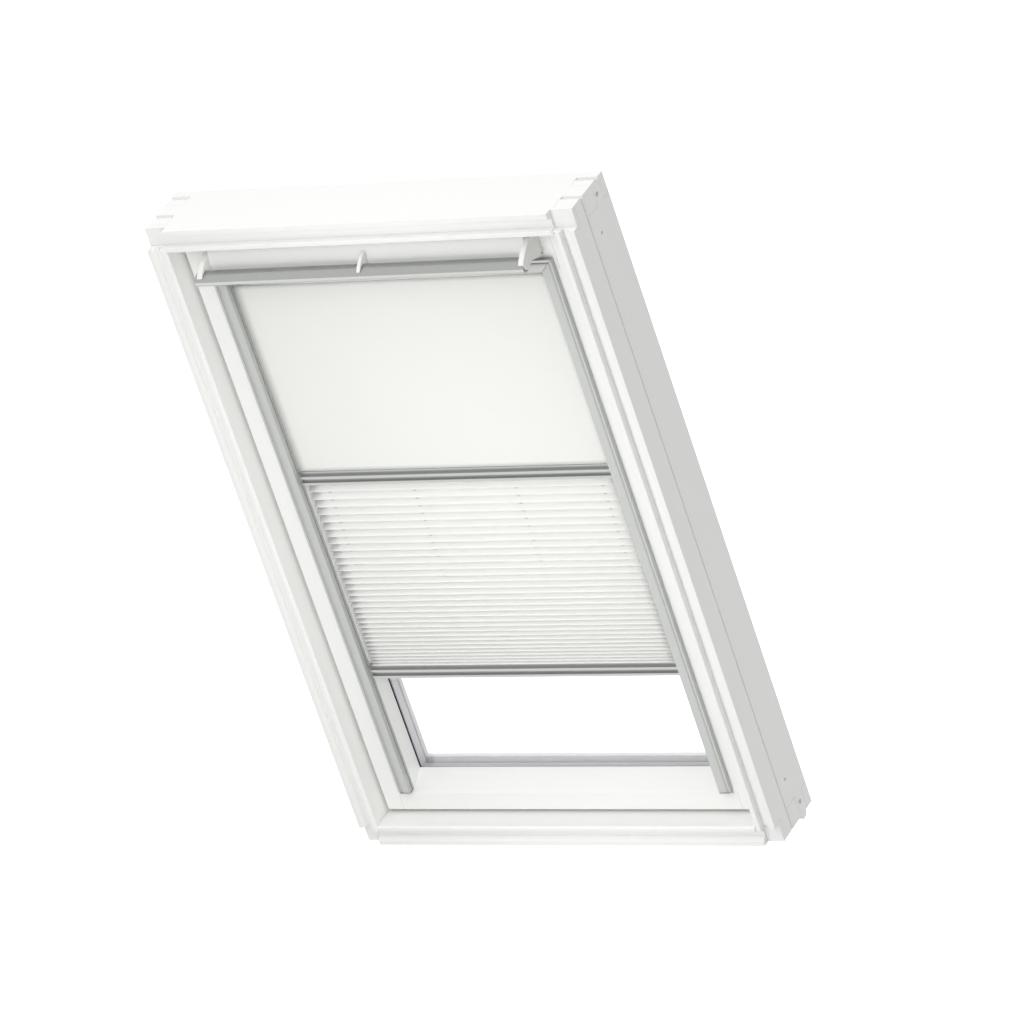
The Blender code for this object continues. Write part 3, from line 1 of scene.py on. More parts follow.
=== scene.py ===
"""Looks of a centre-pivot roof window with its two-cloth blind: white lacquered pine, white
powder coat, etched and satin anodised aluminium, clear float glass, a blackout cloth over a
pleated cloth. Metres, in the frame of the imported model: X across, +Y to the outside, +Z up."""

import json
import math

import bmesh
import bpy
from bpy.props import FloatProperty, FloatVectorProperty, IntProperty, PointerProperty
from mathutils import Matrix, Vector

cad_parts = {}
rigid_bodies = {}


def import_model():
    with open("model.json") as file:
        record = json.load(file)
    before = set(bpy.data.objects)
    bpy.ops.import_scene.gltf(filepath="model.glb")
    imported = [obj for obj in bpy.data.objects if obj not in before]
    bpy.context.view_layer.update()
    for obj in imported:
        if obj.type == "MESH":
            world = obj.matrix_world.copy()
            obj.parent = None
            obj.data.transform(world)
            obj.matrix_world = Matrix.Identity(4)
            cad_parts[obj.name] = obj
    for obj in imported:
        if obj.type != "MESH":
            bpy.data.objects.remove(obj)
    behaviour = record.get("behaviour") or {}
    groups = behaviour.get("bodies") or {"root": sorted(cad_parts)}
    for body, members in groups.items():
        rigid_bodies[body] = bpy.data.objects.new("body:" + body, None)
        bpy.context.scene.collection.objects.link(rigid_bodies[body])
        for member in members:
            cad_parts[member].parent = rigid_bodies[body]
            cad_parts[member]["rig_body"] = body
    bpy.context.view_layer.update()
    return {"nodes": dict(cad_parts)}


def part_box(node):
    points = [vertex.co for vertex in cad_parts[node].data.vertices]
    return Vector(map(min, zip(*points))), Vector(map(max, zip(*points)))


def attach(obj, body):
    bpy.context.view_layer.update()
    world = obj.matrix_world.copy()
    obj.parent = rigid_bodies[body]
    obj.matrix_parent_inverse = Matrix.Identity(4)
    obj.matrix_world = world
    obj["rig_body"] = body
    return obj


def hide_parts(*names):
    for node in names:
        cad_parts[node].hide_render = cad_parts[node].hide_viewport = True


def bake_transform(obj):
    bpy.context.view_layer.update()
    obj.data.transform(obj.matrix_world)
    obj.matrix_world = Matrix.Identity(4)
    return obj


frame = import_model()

bl_info = {
    "name": "Roof window with blind",
    "version": (1, 0, 0),
    "blender": (4, 5, 0),
    "location": "3D View > Sidebar > Roof window",
    "description": "Finishes the pieces of a roof window with a two-cloth blind",
    "category": "Object",
}

MILLIMETRE = 0.001

# Vertices closer than this are one, and faces that turn by less than this are one flat face
WELD = 0.00001
FLAT_ANGLE = math.radians(0.4)

# An outer edge that turns by more than the first angle is eased. After that an inner corner
# stays sharp from the first angle on, and an outer edge from the second.
SHARP_ANGLE = math.radians(28)
CREASE_ANGLE = math.radians(50)

# An edge's easing takes up no more than this share of the room beside it
EASE_SHARE = 0.36
EASE_STEPS = 2

# Grain and die lines along X, Y and Z in millimetres, for pieces that stand and that lie level.
# Die lines are some 0.2 mm wide, and are drawn 0.8 mm wide, so that they show.
UPRIGHT_GRAIN, LEVEL_GRAIN = (2.6, 2.6, 160), (160, 2.6, 2.6)
UPRIGHT_LINES, LEVEL_LINES = (0.8, 0.8, 90), (90, 0.8, 0.8)

# The photograph's camera: the point that it aims at, its line of sight and its roll
CAMERA_AIM = Vector((0.0648, 0.0, 0.6032))
CAMERA_SIGHT = Vector((-0.50884, 0.72684, -0.46130))
CAMERA_ROLL = math.radians(-19.208)

# The Mix node's sockets for colours, which share their names with those for numbers
MIX_FACTOR, MIX_FIRST, MIX_SECOND, MIX_RESULT = 0, 6, 7, 2

UPRIGHT_TIMBER = ("frame_jamb_left", "frame_jamb_right", "sash_stile_left", "sash_stile_right")
LEVEL_TIMBER = ("frame_head", "frame_sill", "sash_top_rail", "sash_bottom_rail")
SEALS = (
    "seal_head",
    "seal_sill",
    "seal_left_lower",
    "seal_left_upper",
    "seal_right_lower",
    "seal_right_upper",
)
GLAZING_BEADS = (
    "glazing_bead_top",
    "glazing_bead_bottom",
    "glazing_bead_left",
    "glazing_bead_right",
)
PRESSED_STEEL = (
    "frame_hinge_left",
    "frame_hinge_right",
    "sash_hinge_left",
    "sash_hinge_right",
    "latch_keeper",
    "latch_housing",
    "latch_bolt",
    "flap_bracket_left",
    "flap_bracket_right",
)
CORNER_SCREWS = (
    "corner_screw_bottom_left",
    "corner_screw_bottom_right",
    "corner_screw_top_left",
    "corner_screw_top_right",
)
FLAP_MOULDINGS = ("flap_end_left", "flap_end_right", "flap_rib")
BLIND_MOULDINGS = (
    "casing_end_left",
    "casing_end_right",
    "channel_foot_left",
    "channel_foot_right",
    "mid_glide_left",
    "mid_glide_right",
    "low_glide_left",
    "low_glide_right",
    "roller_pin_left",
    "roller_pin_right",
)


def linear(hex_colour):
    """An sRGB hex colour as the linear RGBA that a shader takes."""
    channels = [int(hex_colour[i : i + 2], 16) / 255 for i in (0, 2, 4)]
    return [c / 12.92 if c <= 0.04045 else ((c + 0.055) / 1.055) ** 2.4 for c in channels] + [1]


class RoofWindowSizes(bpy.types.PropertyGroup):
    """Sizes of the finished edges, of the screws' recess and of the cloths"""

    timber_edge: FloatProperty(
        name="Timber edge",
        description="Radius to which the sanded timber's edges are eased",
        default=0.0005,
        unit="LENGTH",
    )
    plastic_edge: FloatProperty(
        name="Plastic edge",
        description="Radius on the edges of the moulded pieces",
        default=0.0006,
        unit="LENGTH",
    )
    metal_edge: FloatProperty(
        name="Metal edge",
        description="Radius on the edges of the extruded and pressed metal",
        default=0.0005,
        unit="LENGTH",
    )
    glass_arris: FloatProperty(
        name="Glass arris",
        description="Width of the ground edge round each pane",
        default=0.0008,
        unit="LENGTH",
    )
    hidden_run: FloatProperty(
        name="Hidden run",
        description="Height of the gasket and spacer along the bottom rail, which hides them",
        default=0.003,
        unit="LENGTH",
    )
    screw_recess: FloatProperty(
        name="Screw recess",
        description="Span of the cross recess in the corner screws",
        default=0.0046,
        unit="LENGTH",
    )
    blackout_thickness: FloatProperty(
        name="Blackout cloth",
        description="Thickness of the coated blackout cloth",
        default=0.0004,
        unit="LENGTH",
    )
    pleated_thickness: FloatProperty(
        name="Pleated cloth",
        description="Thickness of the pleated cloth",
        default=0.0003,
        unit="LENGTH",
    )
    pleats: IntProperty(
        name="Pleats",
        description="Pleats between the two bars",
        default=32,
        min=4,
        max=60,
    )
    pleat_top_share: FloatProperty(
        name="Top pleat",
        description="Height of the top pleat over the mean one: the pleats close up downward",
        default=1.36,
        min=1.0,
        max=1.9,
    )
    pleat_low_share: FloatProperty(
        name="Lowest pleat",
        description="Height of the lowest pleat over the mean one",
        default=0.48,
        min=0.2,
        max=1.0,
    )
    pleat_closing: FloatProperty(
        name="Closing",
        description="How late down the cloth the pleats close up, where 1 is evenly",
        default=1.5,
        min=1.0,
        max=3.0,
    )
    roll_turns: IntProperty(
        name="Roll turns",
        description="Turns of blackout cloth left on the roller",
        default=5,
        min=1,
        max=12,
    )


class RoofWindowColours(bpy.types.PropertyGroup):
    """Colours of the finishes"""

    lacquer: FloatVectorProperty(
        name="Lacquer",
        description="White lacquer on the timber",
        subtype="COLOR",
        size=4,
        min=0,
        max=1,
        default=linear("F7F7F5"),
    )
    powder_coat: FloatVectorProperty(
        name="Powder coat",
        description="White powder coat on the flap's panel and the glazing beads",
        subtype="COLOR",
        size=4,
        min=0,
        max=1,
        default=linear("F3F3F1"),
    )
    white_plastic: FloatVectorProperty(
        name="White plastic",
        description="White moulded ends of the flap",
        subtype="COLOR",
        size=4,
        min=0,
        max=1,
        default=linear("F1F1EE"),
    )
    grey_plastic: FloatVectorProperty(
        name="Grey plastic",
        description="Grey nylon of the glides, feet and end caps",
        subtype="COLOR",
        size=4,
        min=0,
        max=1,
        default=linear("A9ABAD"),
    )
    anodised: FloatVectorProperty(
        name="Anodised aluminium",
        description="Deep-etched anodised channels",
        subtype="COLOR",
        size=4,
        min=0,
        max=1,
        default=linear("C3C5C2"),
    )
    # Painted shade: the channels' anodised colour made 0.84 as dark, so the bars, casing and
    # control bar look darker. Their more metallic, glossier finish is their own.
    anodised_with_painted_shade: FloatVectorProperty(
        name="Bright aluminium",
        description="Satin anodised bars, casing and control bar",
        subtype="COLOR",
        size=4,
        min=0,
        max=1,
        default=linear("B2B4B2"),
    )
    zinc: FloatVectorProperty(
        name="Zinc plate",
        description="Zinc-plated hinges, latch and screws",
        subtype="COLOR",
        size=4,
        min=0,
        max=1,
        default=linear("C3C6CB"),
    )
    rubber: FloatVectorProperty(
        name="Rubber",
        description="Black seals and glazing gasket",
        subtype="COLOR",
        size=4,
        min=0,
        max=1,
        default=linear("202022"),
    )
    blackout: FloatVectorProperty(
        name="Blackout cloth",
        description="Room side of the coated blackout cloth",
        subtype="COLOR",
        size=4,
        min=0,
        max=1,
        default=linear("F1F1ED"),
    )
    pleated: FloatVectorProperty(
        name="Pleated cloth",
        description="White pleated cloth",
        subtype="COLOR",
        size=4,
        min=0,
        max=1,
        default=linear("F8F8F6"),
    )


class RoofWindowStage(bpy.types.PropertyGroup):
    """Floor, lights and camera"""

    floor_drop: FloatProperty(
        name="Floor drop",
        description="How far the floor lies below the sill of the window, which hangs in a roof",
        default=1.0,
        unit="LENGTH",
    )
    floor_size: FloatProperty(
        name="Floor size", description="Width of the floor", default=60.0, unit="LENGTH"
    )
    floor_grey: FloatProperty(
        name="Floor grey",
        description="Share of light that the floor gives back",
        default=0.56,
        min=0,
        max=1,
    )
    back_light: FloatProperty(
        name="Back light", description="Level of the soft light behind the window", default=0.58
    )
    front_light: FloatProperty(
        name="Front light", description="Level of the soft light before the window", default=0.38
    )
    overhead_light: FloatProperty(
        name="Overhead light", description="Soft light added straight overhead", default=1.5
    )
    softbox_light: FloatProperty(
        name="Softbox", description="Power of the upright softbox before the window", default=4.3
    )
    top_softbox_light: FloatProperty(
        name="Top softbox", description="Power of the softbox above and before it", default=5.0
    )
    camera_distance: FloatProperty(
        name="Camera distance",
        description="From the middle of the window to the camera",
        default=11.910,
        unit="LENGTH",
    )
    lens: FloatProperty(
        name="Lens", description="Focal length in millimetres", default=263.82, min=20
    )


def wire(tree, target, inputs):
    """Links or sets the sockets of a shader node: an output is linked, a value is set."""
    for socket, value in inputs.items():
        if isinstance(value, bpy.types.NodeSocket):
            tree.links.new(value, target.inputs[socket])
        else:
            target.inputs[socket].default_value = value


def add(tree, kind, inputs=None, **settings):
    """Adds a node with its settings and links."""
    made = tree.nodes.new(kind)
    for name, value in settings.items():
        setattr(made, name, value)
    wire(tree, made, inputs or {})
    return made


def new_material(name):
    """A new finish: its material, tree and main shader."""
    material = bpy.data.materials.new(name)
    material.use_nodes = True
    return material, material.node_tree, material.node_tree.nodes["Principled BSDF"]


def shade_of(colour, share):
    """A colour made darker by a share, for the low spots of a pattern."""
    return [channel * share for channel in colour[:3]] + [1]


def grained(tree, size, detail=3.0):
    """Noise whose grains have the given size along X, Y and Z, in millimetres."""
    place = add(tree, "ShaderNodeTexCoord")
    scale = [1 / (length * MILLIMETRE) for length in size]
    mapped = add(
        tree, "ShaderNodeMapping", {"Vector": place.outputs["Object"], "Scale": scale}
    )
    return add(
        tree,
        "ShaderNodeTexNoise",
        {"Vector": mapped.outputs["Vector"], "Scale": 1.0, "Detail": detail, "Roughness": 0.55},
    )


def toned(tree, noise, low, high):
    """Two tones of a finish, mixed by the noise."""
    return add(
        tree,
        "ShaderNodeMix",
        {MIX_FACTOR: noise.outputs["Fac"], MIX_FIRST: low, MIX_SECOND: high},
        data_type="RGBA",
    ).outputs[MIX_RESULT]


def uneven(tree, noise, low, high):
    """A number that runs between two values with the noise."""
    return add(
        tree,
        "ShaderNodeMapRange",
        {"Value": noise.outputs["Fac"], "To Min": low, "To Max": high},
    ).outputs["Result"]


def relief(tree, height, depth, strength=1.0, below=None):
    """Bump of the given depth in millimetres, over any bump below it."""
    inputs = {"Height": height, "Distance": depth * MILLIMETRE, "Strength": strength}
    if below:
        inputs["Normal"] = below
    return add(tree, "ShaderNodeBump", inputs).outputs["Normal"]


def lacquered_pine(name, colours, grain_size):
    """White water-based lacquer, sprayed on planed pine: an even satin white in which only the
    raised grain shows, as fine lines along the member."""
    material, tree, shader = new_material(name)
    grain = grained(tree, grain_size, detail=4.0)
    spray = grained(tree, (1.4, 1.4, 1.4), detail=2.0)
    under = relief(tree, grain.outputs["Fac"], depth=0.22, strength=0.5)
    wire(
        tree,
        shader,
        {
            "Base Color": toned(tree, grain, shade_of(colours.lacquer, 0.965), colours.lacquer),
            "Roughness": uneven(tree, grain, 0.36, 0.48),
            "IOR": 1.5,
            "Normal": relief(tree, spray.outputs["Fac"], depth=0.03, strength=0.4, below=under),
        },
    )
    return material


def powder_coated_aluminium(name, colours):
    """White polyester powder coat, baked on: a faint orange peel breaks its satin sheen."""
    material, tree, shader = new_material(name)
    peel = grained(tree, (1.8, 1.8, 1.8), detail=2.0)
    cloud = grained(tree, (60, 60, 60), detail=2.0)
    wire(
        tree,
        shader,
        {
            "Base Color": toned(
                tree, cloud, shade_of(colours.powder_coat, 0.98), colours.powder_coat
            ),
            "Roughness": uneven(tree, peel, 0.30, 0.38),
            "IOR": 1.5,
            "Normal": relief(tree, peel.outputs["Fac"], depth=0.05, strength=0.5),
        },
    )
    return material


def moulded_plastic(name, colour, roughness):
    """Moulded ABS or nylon from a spark-eroded tool: a fine even grain that dulls its sheen. The
    0.1 mm grain is drawn 0.7 mm wide, so that it shows."""
    material, tree, shader = new_material(name)
    grain = grained(tree, (0.7, 0.7, 0.7), detail=2.0)
    flow = grained(tree, (25, 25, 25), detail=2.0)
    wire(
        tree,
        shader,
        {
            "Base Color": toned(tree, flow, shade_of(colour, 0.97), colour),
            "Roughness": uneven(tree, grain, roughness - 0.04, roughness + 0.05),
            "IOR": 1.52,
            "Normal": relief(tree, grain.outputs["Fac"], depth=0.03, strength=0.5),
        },
    )
    return material


def anodised_aluminium(name, colour, line_size, metal, roughness):
    """Extruded aluminium, etched and clear anodised: fine die lines along its length draw its
    reflections out across it, and the deeper the etch, the more it looks a plain soft grey."""
    material, tree, shader = new_material(name)
    lines = grained(tree, line_size, detail=3.0)
    wire(
        tree,
        shader,
        {
            "Base Color": toned(tree, lines, shade_of(colour, 0.95), colour),
            "Metallic": metal,
            "Roughness": uneven(tree, lines, roughness - 0.05, roughness + 0.06),
            "Normal": relief(tree, lines.outputs["Fac"], depth=0.02, strength=0.4),
        },
    )
    return material


def zinc_plated_steel(name, colours):
    """Pressed steel, bright zinc plated and passivated: cool, with small soft clouds."""
    material, tree, shader = new_material(name)
    clouds = grained(tree, (4, 4, 4), detail=3.0)
    wire(
        tree,
        shader,
        {
            "Base Color": toned(tree, clouds, shade_of(colours.zinc, 0.86), colours.zinc),
            "Metallic": 1.0,
            "Roughness": uneven(tree, clouds, 0.28, 0.42),
            "Normal": relief(tree, clouds.outputs["Fac"], depth=0.02, strength=0.4),
        },
    )
    return material


def oiled_spring_steel(name):
    """Oiled spring wire: dark, with the long marks of the drawing die."""
    material, tree, shader = new_material(name)
    marks = grained(tree, (2.5, 0.5, 0.5), detail=3.0)
    wire(
        tree,
        shader,
        {
            "Base Color": toned(tree, marks, linear("5A5A5C"), linear("7B7B7D")),
            "Metallic": 1.0,
            "Roughness": uneven(tree, marks, 0.22, 0.36),
        },
    )
    return material


def extruded_rubber(name, colours):
    """Extruded EPDM: near black, dull, with a dry bloom in its low spots."""
    material, tree, shader = new_material(name)
    bloom = grained(tree, (6, 6, 6), detail=3.0)
    skin = grained(tree, (0.6, 0.6, 0.6), detail=2.0)
    wire(
        tree,
        shader,
        {
            "Base Color": toned(tree, bloom, colours.rubber, linear("2E2E30")),
            "Roughness": uneven(tree, skin, 0.62, 0.78),
            "IOR": 1.5,
            "Normal": relief(tree, skin.outputs["Fac"], depth=0.04, strength=0.5),
        },
    )
    return material


def perforated_spacer(name):
    """Rolled aluminium spacer bar: dull, with two rows of small breathing holes for its drying
    agent, painted near black as the shade inside them, with no hole cut."""
    half_pitch, row_from_middle, hole_radius = 1.6, 2.2, 0.45
    material, tree, shader = new_material(name)
    place = add(tree, "ShaderNodeTexCoord")
    axes = add(tree, "ShaderNodeSeparateXYZ", {"Vector": place.outputs["Object"]})
    low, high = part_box("glass_spacer")
    middle = (low.y + high.y) / 2
    along = add(
        tree, "ShaderNodeMath", {0: axes.outputs["X"], 1: axes.outputs["Z"]}, operation="ADD"
    )
    wrapped = add(
        tree,
        "ShaderNodeMath",
        {0: along.outputs["Value"], 1: half_pitch * MILLIMETRE},
        operation="PINGPONG",
    )
    across = add(
        tree, "ShaderNodeMath", {0: axes.outputs["Y"], 1: middle}, operation="SUBTRACT"
    )
    folded = add(tree, "ShaderNodeMath", {0: across.outputs["Value"]}, operation="ABSOLUTE")
    row = add(
        tree,
        "ShaderNodeMath",
        {0: folded.outputs["Value"], 1: row_from_middle * MILLIMETRE},
        operation="SUBTRACT",
    )
    spot = add(
        tree, "ShaderNodeCombineXYZ", {"X": wrapped.outputs["Value"], "Y": row.outputs["Value"]}
    )
    away = add(tree, "ShaderNodeVectorMath", {0: spot.outputs["Vector"]}, operation="LENGTH")
    hole_shade_mask = add(
        tree,
        "ShaderNodeMath",
        {0: away.outputs["Value"], 1: hole_radius * MILLIMETRE},
        operation="LESS_THAN",
    )
    # Painted shade: near-black spots where the holes' unlit insides would be
    tone = add(
        tree,
        "ShaderNodeMix",
        {
            MIX_FACTOR: hole_shade_mask.outputs["Value"],
            MIX_FIRST: linear("E6E6E7"),
            MIX_SECOND: linear("1E1E1F"),
        },
        data_type="RGBA",
    )
    wire(
        tree,
        shader,
        {"Base Color": tone.outputs[MIX_RESULT], "Metallic": 0.1, "Roughness": 0.5},
    )
    return material


def float_glass(name):
    """Clear float glass: almost no colour, a trace of dust on it, and light passes through it
    to what stands behind."""
    material, tree, shader = new_material(name)
    dust = grained(tree, (9, 9, 9), detail=4.0)
    wire(
        tree,
        shader,
        {
            "Base Color": linear("FEFEFF"),
            "Roughness": uneven(tree, dust, 0.0, 0.03),
            "IOR": 1.5,
            "Transmission Weight": 1.0,
        },
    )
    light = add(tree, "ShaderNodeLightPath")
    clear = add(tree, "ShaderNodeBsdfTransparent", {"Color": linear("FEFEFF")})
    passing = add(
        tree,
        "ShaderNodeMixShader",
        {
            0: light.outputs["Is Shadow Ray"],
            1: shader.outputs["BSDF"],
            2: clear.outputs["BSDF"],
        },
    )
    wire(tree, tree.nodes["Material Output"], {"Surface": passing.outputs["Shader"]})
    return material


def coated_blackout(name, colours):
    """Woven polyester with a light-tight coating: a flat white with the close weave just under
    the coat. Its 0.4 mm threads are drawn 1.5 mm apart, so that they show."""
    # The wave texture takes 20 radians for each unit at a scale of 1, and one wave of it is a
    # thread on top and the next one below
    radians_per_unit, drawn_thread = 20, 1.5 * MILLIMETRE
    material, tree, shader = new_material(name)
    place = add(tree, "ShaderNodeTexCoord")
    threads = [
        add(
            tree,
            "ShaderNodeTexWave",
            {
                "Vector": place.outputs["Object"],
                "Scale": math.pi / (radians_per_unit * drawn_thread),
                "Distortion": 0.6,
                "Detail": 1.0,
            },
            bands_direction=direction,
        )
        for direction in ("X", "Z")
    ]
    weave = add(
        tree,
        "ShaderNodeMath",
        {0: threads[0].outputs["Fac"], 1: threads[1].outputs["Fac"]},
        operation="MULTIPLY",
    )
    cloud = grained(tree, (70, 70, 140), detail=2.0)
    wire(
        tree,
        shader,
        {
            "Base Color": toned(tree, cloud, shade_of(colours.blackout, 0.975), colours.blackout),
            "Roughness": uneven(tree, cloud, 0.62, 0.7),
            "Sheen Weight": 0.08,
            "Normal": relief(tree, weave.outputs["Value"], depth=0.05, strength=0.5),
        },
    )
    return material


def pleated_nonwoven(name, colours, columns, half_width, half_height, place_on_face):
    """Pleated polyester: a soft, slightly fibrous white with a pressed edge at each fold, and in
    each face a row of small slots, whose shade is painted on as grey patches with no hole cut in
    the cloth. Its UV map runs in metres from the middle across, and in faces of the pleats
    downward."""
    material, tree, shader = new_material(name)
    fibres = grained(tree, (5.0, 1.2, 1.2), detail=4.0)
    cloth = add(tree, "ShaderNodeUVMap", uv_map="cloth")
    axes = add(tree, "ShaderNodeSeparateXYZ", {"Vector": cloth.outputs["UV"]})
    mirrored = add(tree, "ShaderNodeMath", {0: axes.outputs["X"]}, operation="ABSOLUTE")
    beside = [
        add(
            tree,
            "ShaderNodeMath",
            {0: mirrored.outputs["Value"], 1: column, 2: half_width},
            operation="COMPARE",
        )
        for column in columns
    ]
    either = add(
        tree,
        "ShaderNodeMath",
        {0: beside[0].outputs["Value"], 1: beside[1].outputs["Value"]},
        operation="MAXIMUM",
    )
    face = add(tree, "ShaderNodeMath", {0: axes.outputs["Y"], 1: 1.0}, operation="PINGPONG")
    level = add(
        tree,
        "ShaderNodeMath",
        {0: face.outputs["Value"], 1: place_on_face, 2: half_height},
        operation="COMPARE",
    )
    slot_shade_mask = add(
        tree,
        "ShaderNodeMath",
        {0: either.outputs["Value"], 1: level.outputs["Value"]},
        operation="MULTIPLY",
    )
    tone = toned(tree, fibres, shade_of(colours.pleated, 0.97), colours.pleated)
    # Painted shade: a flat grey stands in for the shade inside each slot, over the cloth's own
    # tone
    cut = add(
        tree,
        "ShaderNodeMix",
        {MIX_FACTOR: slot_shade_mask.outputs["Value"], MIX_FIRST: tone, MIX_SECOND: linear("D2D2D0")},
        data_type="RGBA",
    )
    wire(
        tree,
        shader,
        {
            "Base Color": cut.outputs[MIX_RESULT],
            "Roughness": 0.82,
            "Sheen Weight": 0.15,
            "Normal": relief(tree, fibres.outputs["Fac"], depth=0.06, strength=0.5),
        },
    )
    return material


def background_rays(tree):
    """1 where a ray is the camera's, a reflection's or the glass's, which see the background."""
    light = add(tree, "ShaderNodeLightPath")
    seen = add(
        tree,
        "ShaderNodeMath",
        {0: light.outputs["Is Camera Ray"], 1: light.outputs["Is Glossy Ray"]},
        operation="MAXIMUM",
    )
    return add(
        tree,
        "ShaderNodeMath",
        {0: seen.outputs["Value"], 1: light.outputs["Is Transmission Ray"]},
        operation="MAXIMUM",
    ).outputs["Value"]


def room(edge):
    """The room for easing an edge: the least of the widths of its two faces and the lengths of
    the edges that meet it."""
    start, end = (vert.co for vert in edge.verts)
    along = (end - start).normalized()
    widths = [
        max((vert.co - start).cross(along).length for vert in face.verts)
        for face in edge.link_faces
    ]
    lengths = [
        other.calc_length() for vert in edge.verts for other in vert.link_edges if other != edge
    ]
    return min(widths + lengths)


def welded_copy(node):
    """A CAD node's shape with its triangles joined into whole faces."""
    bm = bmesh.new()
    bm.from_mesh(frame["nodes"][node].data)
    bmesh.ops.remove_doubles(bm, verts=bm.verts, dist=WELD)
    bmesh.ops.dissolve_limit(bm, angle_limit=FLAT_ANGLE, verts=bm.verts, edges=bm.edges)
    bmesh.ops.recalc_face_normals(bm, faces=bm.faces)
    return bm


def placed(name, bm, material):
    """A finished mesh as an object at the origin, with its material."""
    mesh = bpy.data.meshes.new(name)
    for face in bm.faces:
        face.smooth = True
    bm.to_mesh(mesh)
    bm.free()
    mesh.materials.append(material)
    obj = bpy.data.objects.new(name, mesh)
    bpy.context.scene.collection.objects.link(obj)
    return obj


def evaluated_shape(obj, *tools):
    """An object's mesh with its modifiers applied, in place of the object and its tools."""
    bpy.context.view_layer.update()
    graph = bpy.context.evaluated_depsgraph_get()
    shape = bmesh.new()
    shape.from_mesh(obj.evaluated_get(graph).data)
    for used in (obj, *tools):
        mesh = used.data
        bpy.data.objects.remove(used, do_unlink=True)
        bpy.data.meshes.remove(mesh)
    return shape


def ease_edges(name, bm, material, radius, steps):
    """Rounds each outer edge of a mesh as far as the faces beside it allow."""
    weight = bm.edges.layers.float.new("bevel_weight_edge")
    for edge in bm.edges:
        if len(edge.link_faces) == 2 and edge.is_convex and edge.calc_face_angle(0) > SHARP_ANGLE:
            edge[weight] = min(1.0, room(edge) * EASE_SHARE / radius)
    blank = placed(name, bm, material)
    bevel = blank.modifiers.new("eased_edges", "BEVEL")
    bevel.limit_method = "WEIGHT"
    bevel.offset_type = "OFFSET"
    bevel.width = radius
    bevel.segments = steps
    bevel.profile = 0.5
    bevel.use_clamp_overlap = False
    bevel.loop_slide = False
    return evaluated_shape(blank)


def mark_creases(bm):
    """Keeps the inner corners sharp, and the outer edges that had no room to be eased."""
    for edge in bm.edges:
        if len(edge.link_faces) == 2:
            limit = CREASE_ANGLE if edge.is_convex else SHARP_ANGLE
            edge.smooth = edge.calc_face_angle(0) < limit


def eased(node, material, radius, bm=None, steps=EASE_STEPS):
    """Puts a copy of a CAD node with eased edges in its place, on its body, with faces that
    shade as flat as they are."""
    bm = ease_edges(node + "_blank", bm or welded_copy(node), material, radius, steps)
    mark_creases(bm)
    obj = placed(node + "_finished", bm, material)
    flat = obj.modifiers.new("flat_faces", "WEIGHTED_NORMAL")
    flat.mode = "FACE_AREA"
    flat.weight = 100
    flat.keep_sharp = True
    carrier = frame["nodes"][node]
    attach(obj, carrier["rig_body"])
    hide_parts(node)


def tucked(node, sizes):
    """A ring round the glass whose lowest run sinks behind the bottom rail."""
    bm = welded_copy(node)
    low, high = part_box(node)
    for vert in bm.verts:
        if low.z + WELD < vert.co.z < (low.z + high.z) / 2:
            vert.co.z = low.z + sizes.hidden_run
    return bm


def cut(bm, cutter):
    """Takes the cutter's shape out of a mesh."""
    scene = bpy.context.scene
    pair = []
    for name, shape in (("cut_body", bm), ("cut_tool", cutter)):
        mesh = bpy.data.meshes.new(name)
        shape.to_mesh(mesh)
        shape.free()
        obj = bpy.data.objects.new(name, mesh)
        scene.collection.objects.link(obj)
        pair.append(obj)
    body, tool = pair
    boolean = body.modifiers.new("cut", "BOOLEAN")
    boolean.operation = "DIFFERENCE"
    boolean.solver = "EXACT"
    boolean.object = tool
    result = evaluated_shape(body, tool)
    bmesh.ops.remove_doubles(result, verts=result.verts, dist=WELD)
    bmesh.ops.recalc_face_normals(result, faces=result.faces)
    return result


def cloth_grid(columns, rows):
    """A flat grid, 1 by 1, with the UV map of the cloth."""
    bm = bmesh.new()
    bm.loops.layers.uv.new("cloth")
    bmesh.ops.create_grid(bm, x_segments=columns, y_segments=rows, size=0.5, calc_uvs=True)
    return bm


def give_wall(obj, thickness):
    """Gives a cloth its thickness, evenly about the sheet."""
    solidify = obj.modifiers.new("cloth_thickness", "SOLIDIFY")
    solidify.thickness = thickness
    solidify.offset = 0


class ROOFWINDOW_OT_timber(bpy.types.Operator):
    """Lacquered pine of the frame and the sash"""

    bl_idname = "roof_window.make_timber"
    bl_label = "Timber"

    def execute(self, context):
        sizes, colours = context.scene.roof_window_sizes, context.scene.roof_window_colours
        upright = lacquered_pine("white_lacquer_on_pine_upright", colours, UPRIGHT_GRAIN)
        level = lacquered_pine("white_lacquer_on_pine_level", colours, LEVEL_GRAIN)
        for node in UPRIGHT_TIMBER:
            eased(node, upright, sizes.timber_edge)
        for node in LEVEL_TIMBER:
            eased(node, level, sizes.timber_edge)
        return {"FINISHED"}


class ROOFWINDOW_OT_glazing(bpy.types.Operator):
    """Sealed glass unit with its spacer, gasket and outer beads"""

    bl_idname = "roof_window.make_glazing"
    bl_label = "Glazing"

    def execute(self, context):
        sizes, colours = context.scene.roof_window_sizes, context.scene.roof_window_colours
        glass = float_glass("clear_float_glass")
        for node in ("glass_inner", "glass_outer"):
            eased(node, glass, sizes.glass_arris, steps=1)
        spacer = perforated_spacer("rolled_aluminium_spacer")
        eased("glass_spacer", spacer, sizes.metal_edge, tucked("glass_spacer", sizes))
        rubber = extruded_rubber("epdm_gasket", colours)
        eased("glass_gasket", rubber, sizes.metal_edge, tucked("glass_gasket", sizes))
        coat = powder_coated_aluminium("white_powder_coat_beads", colours)
        for node in GLAZING_BEADS:
            eased(node, coat, sizes.metal_edge)
        return {"FINISHED"}


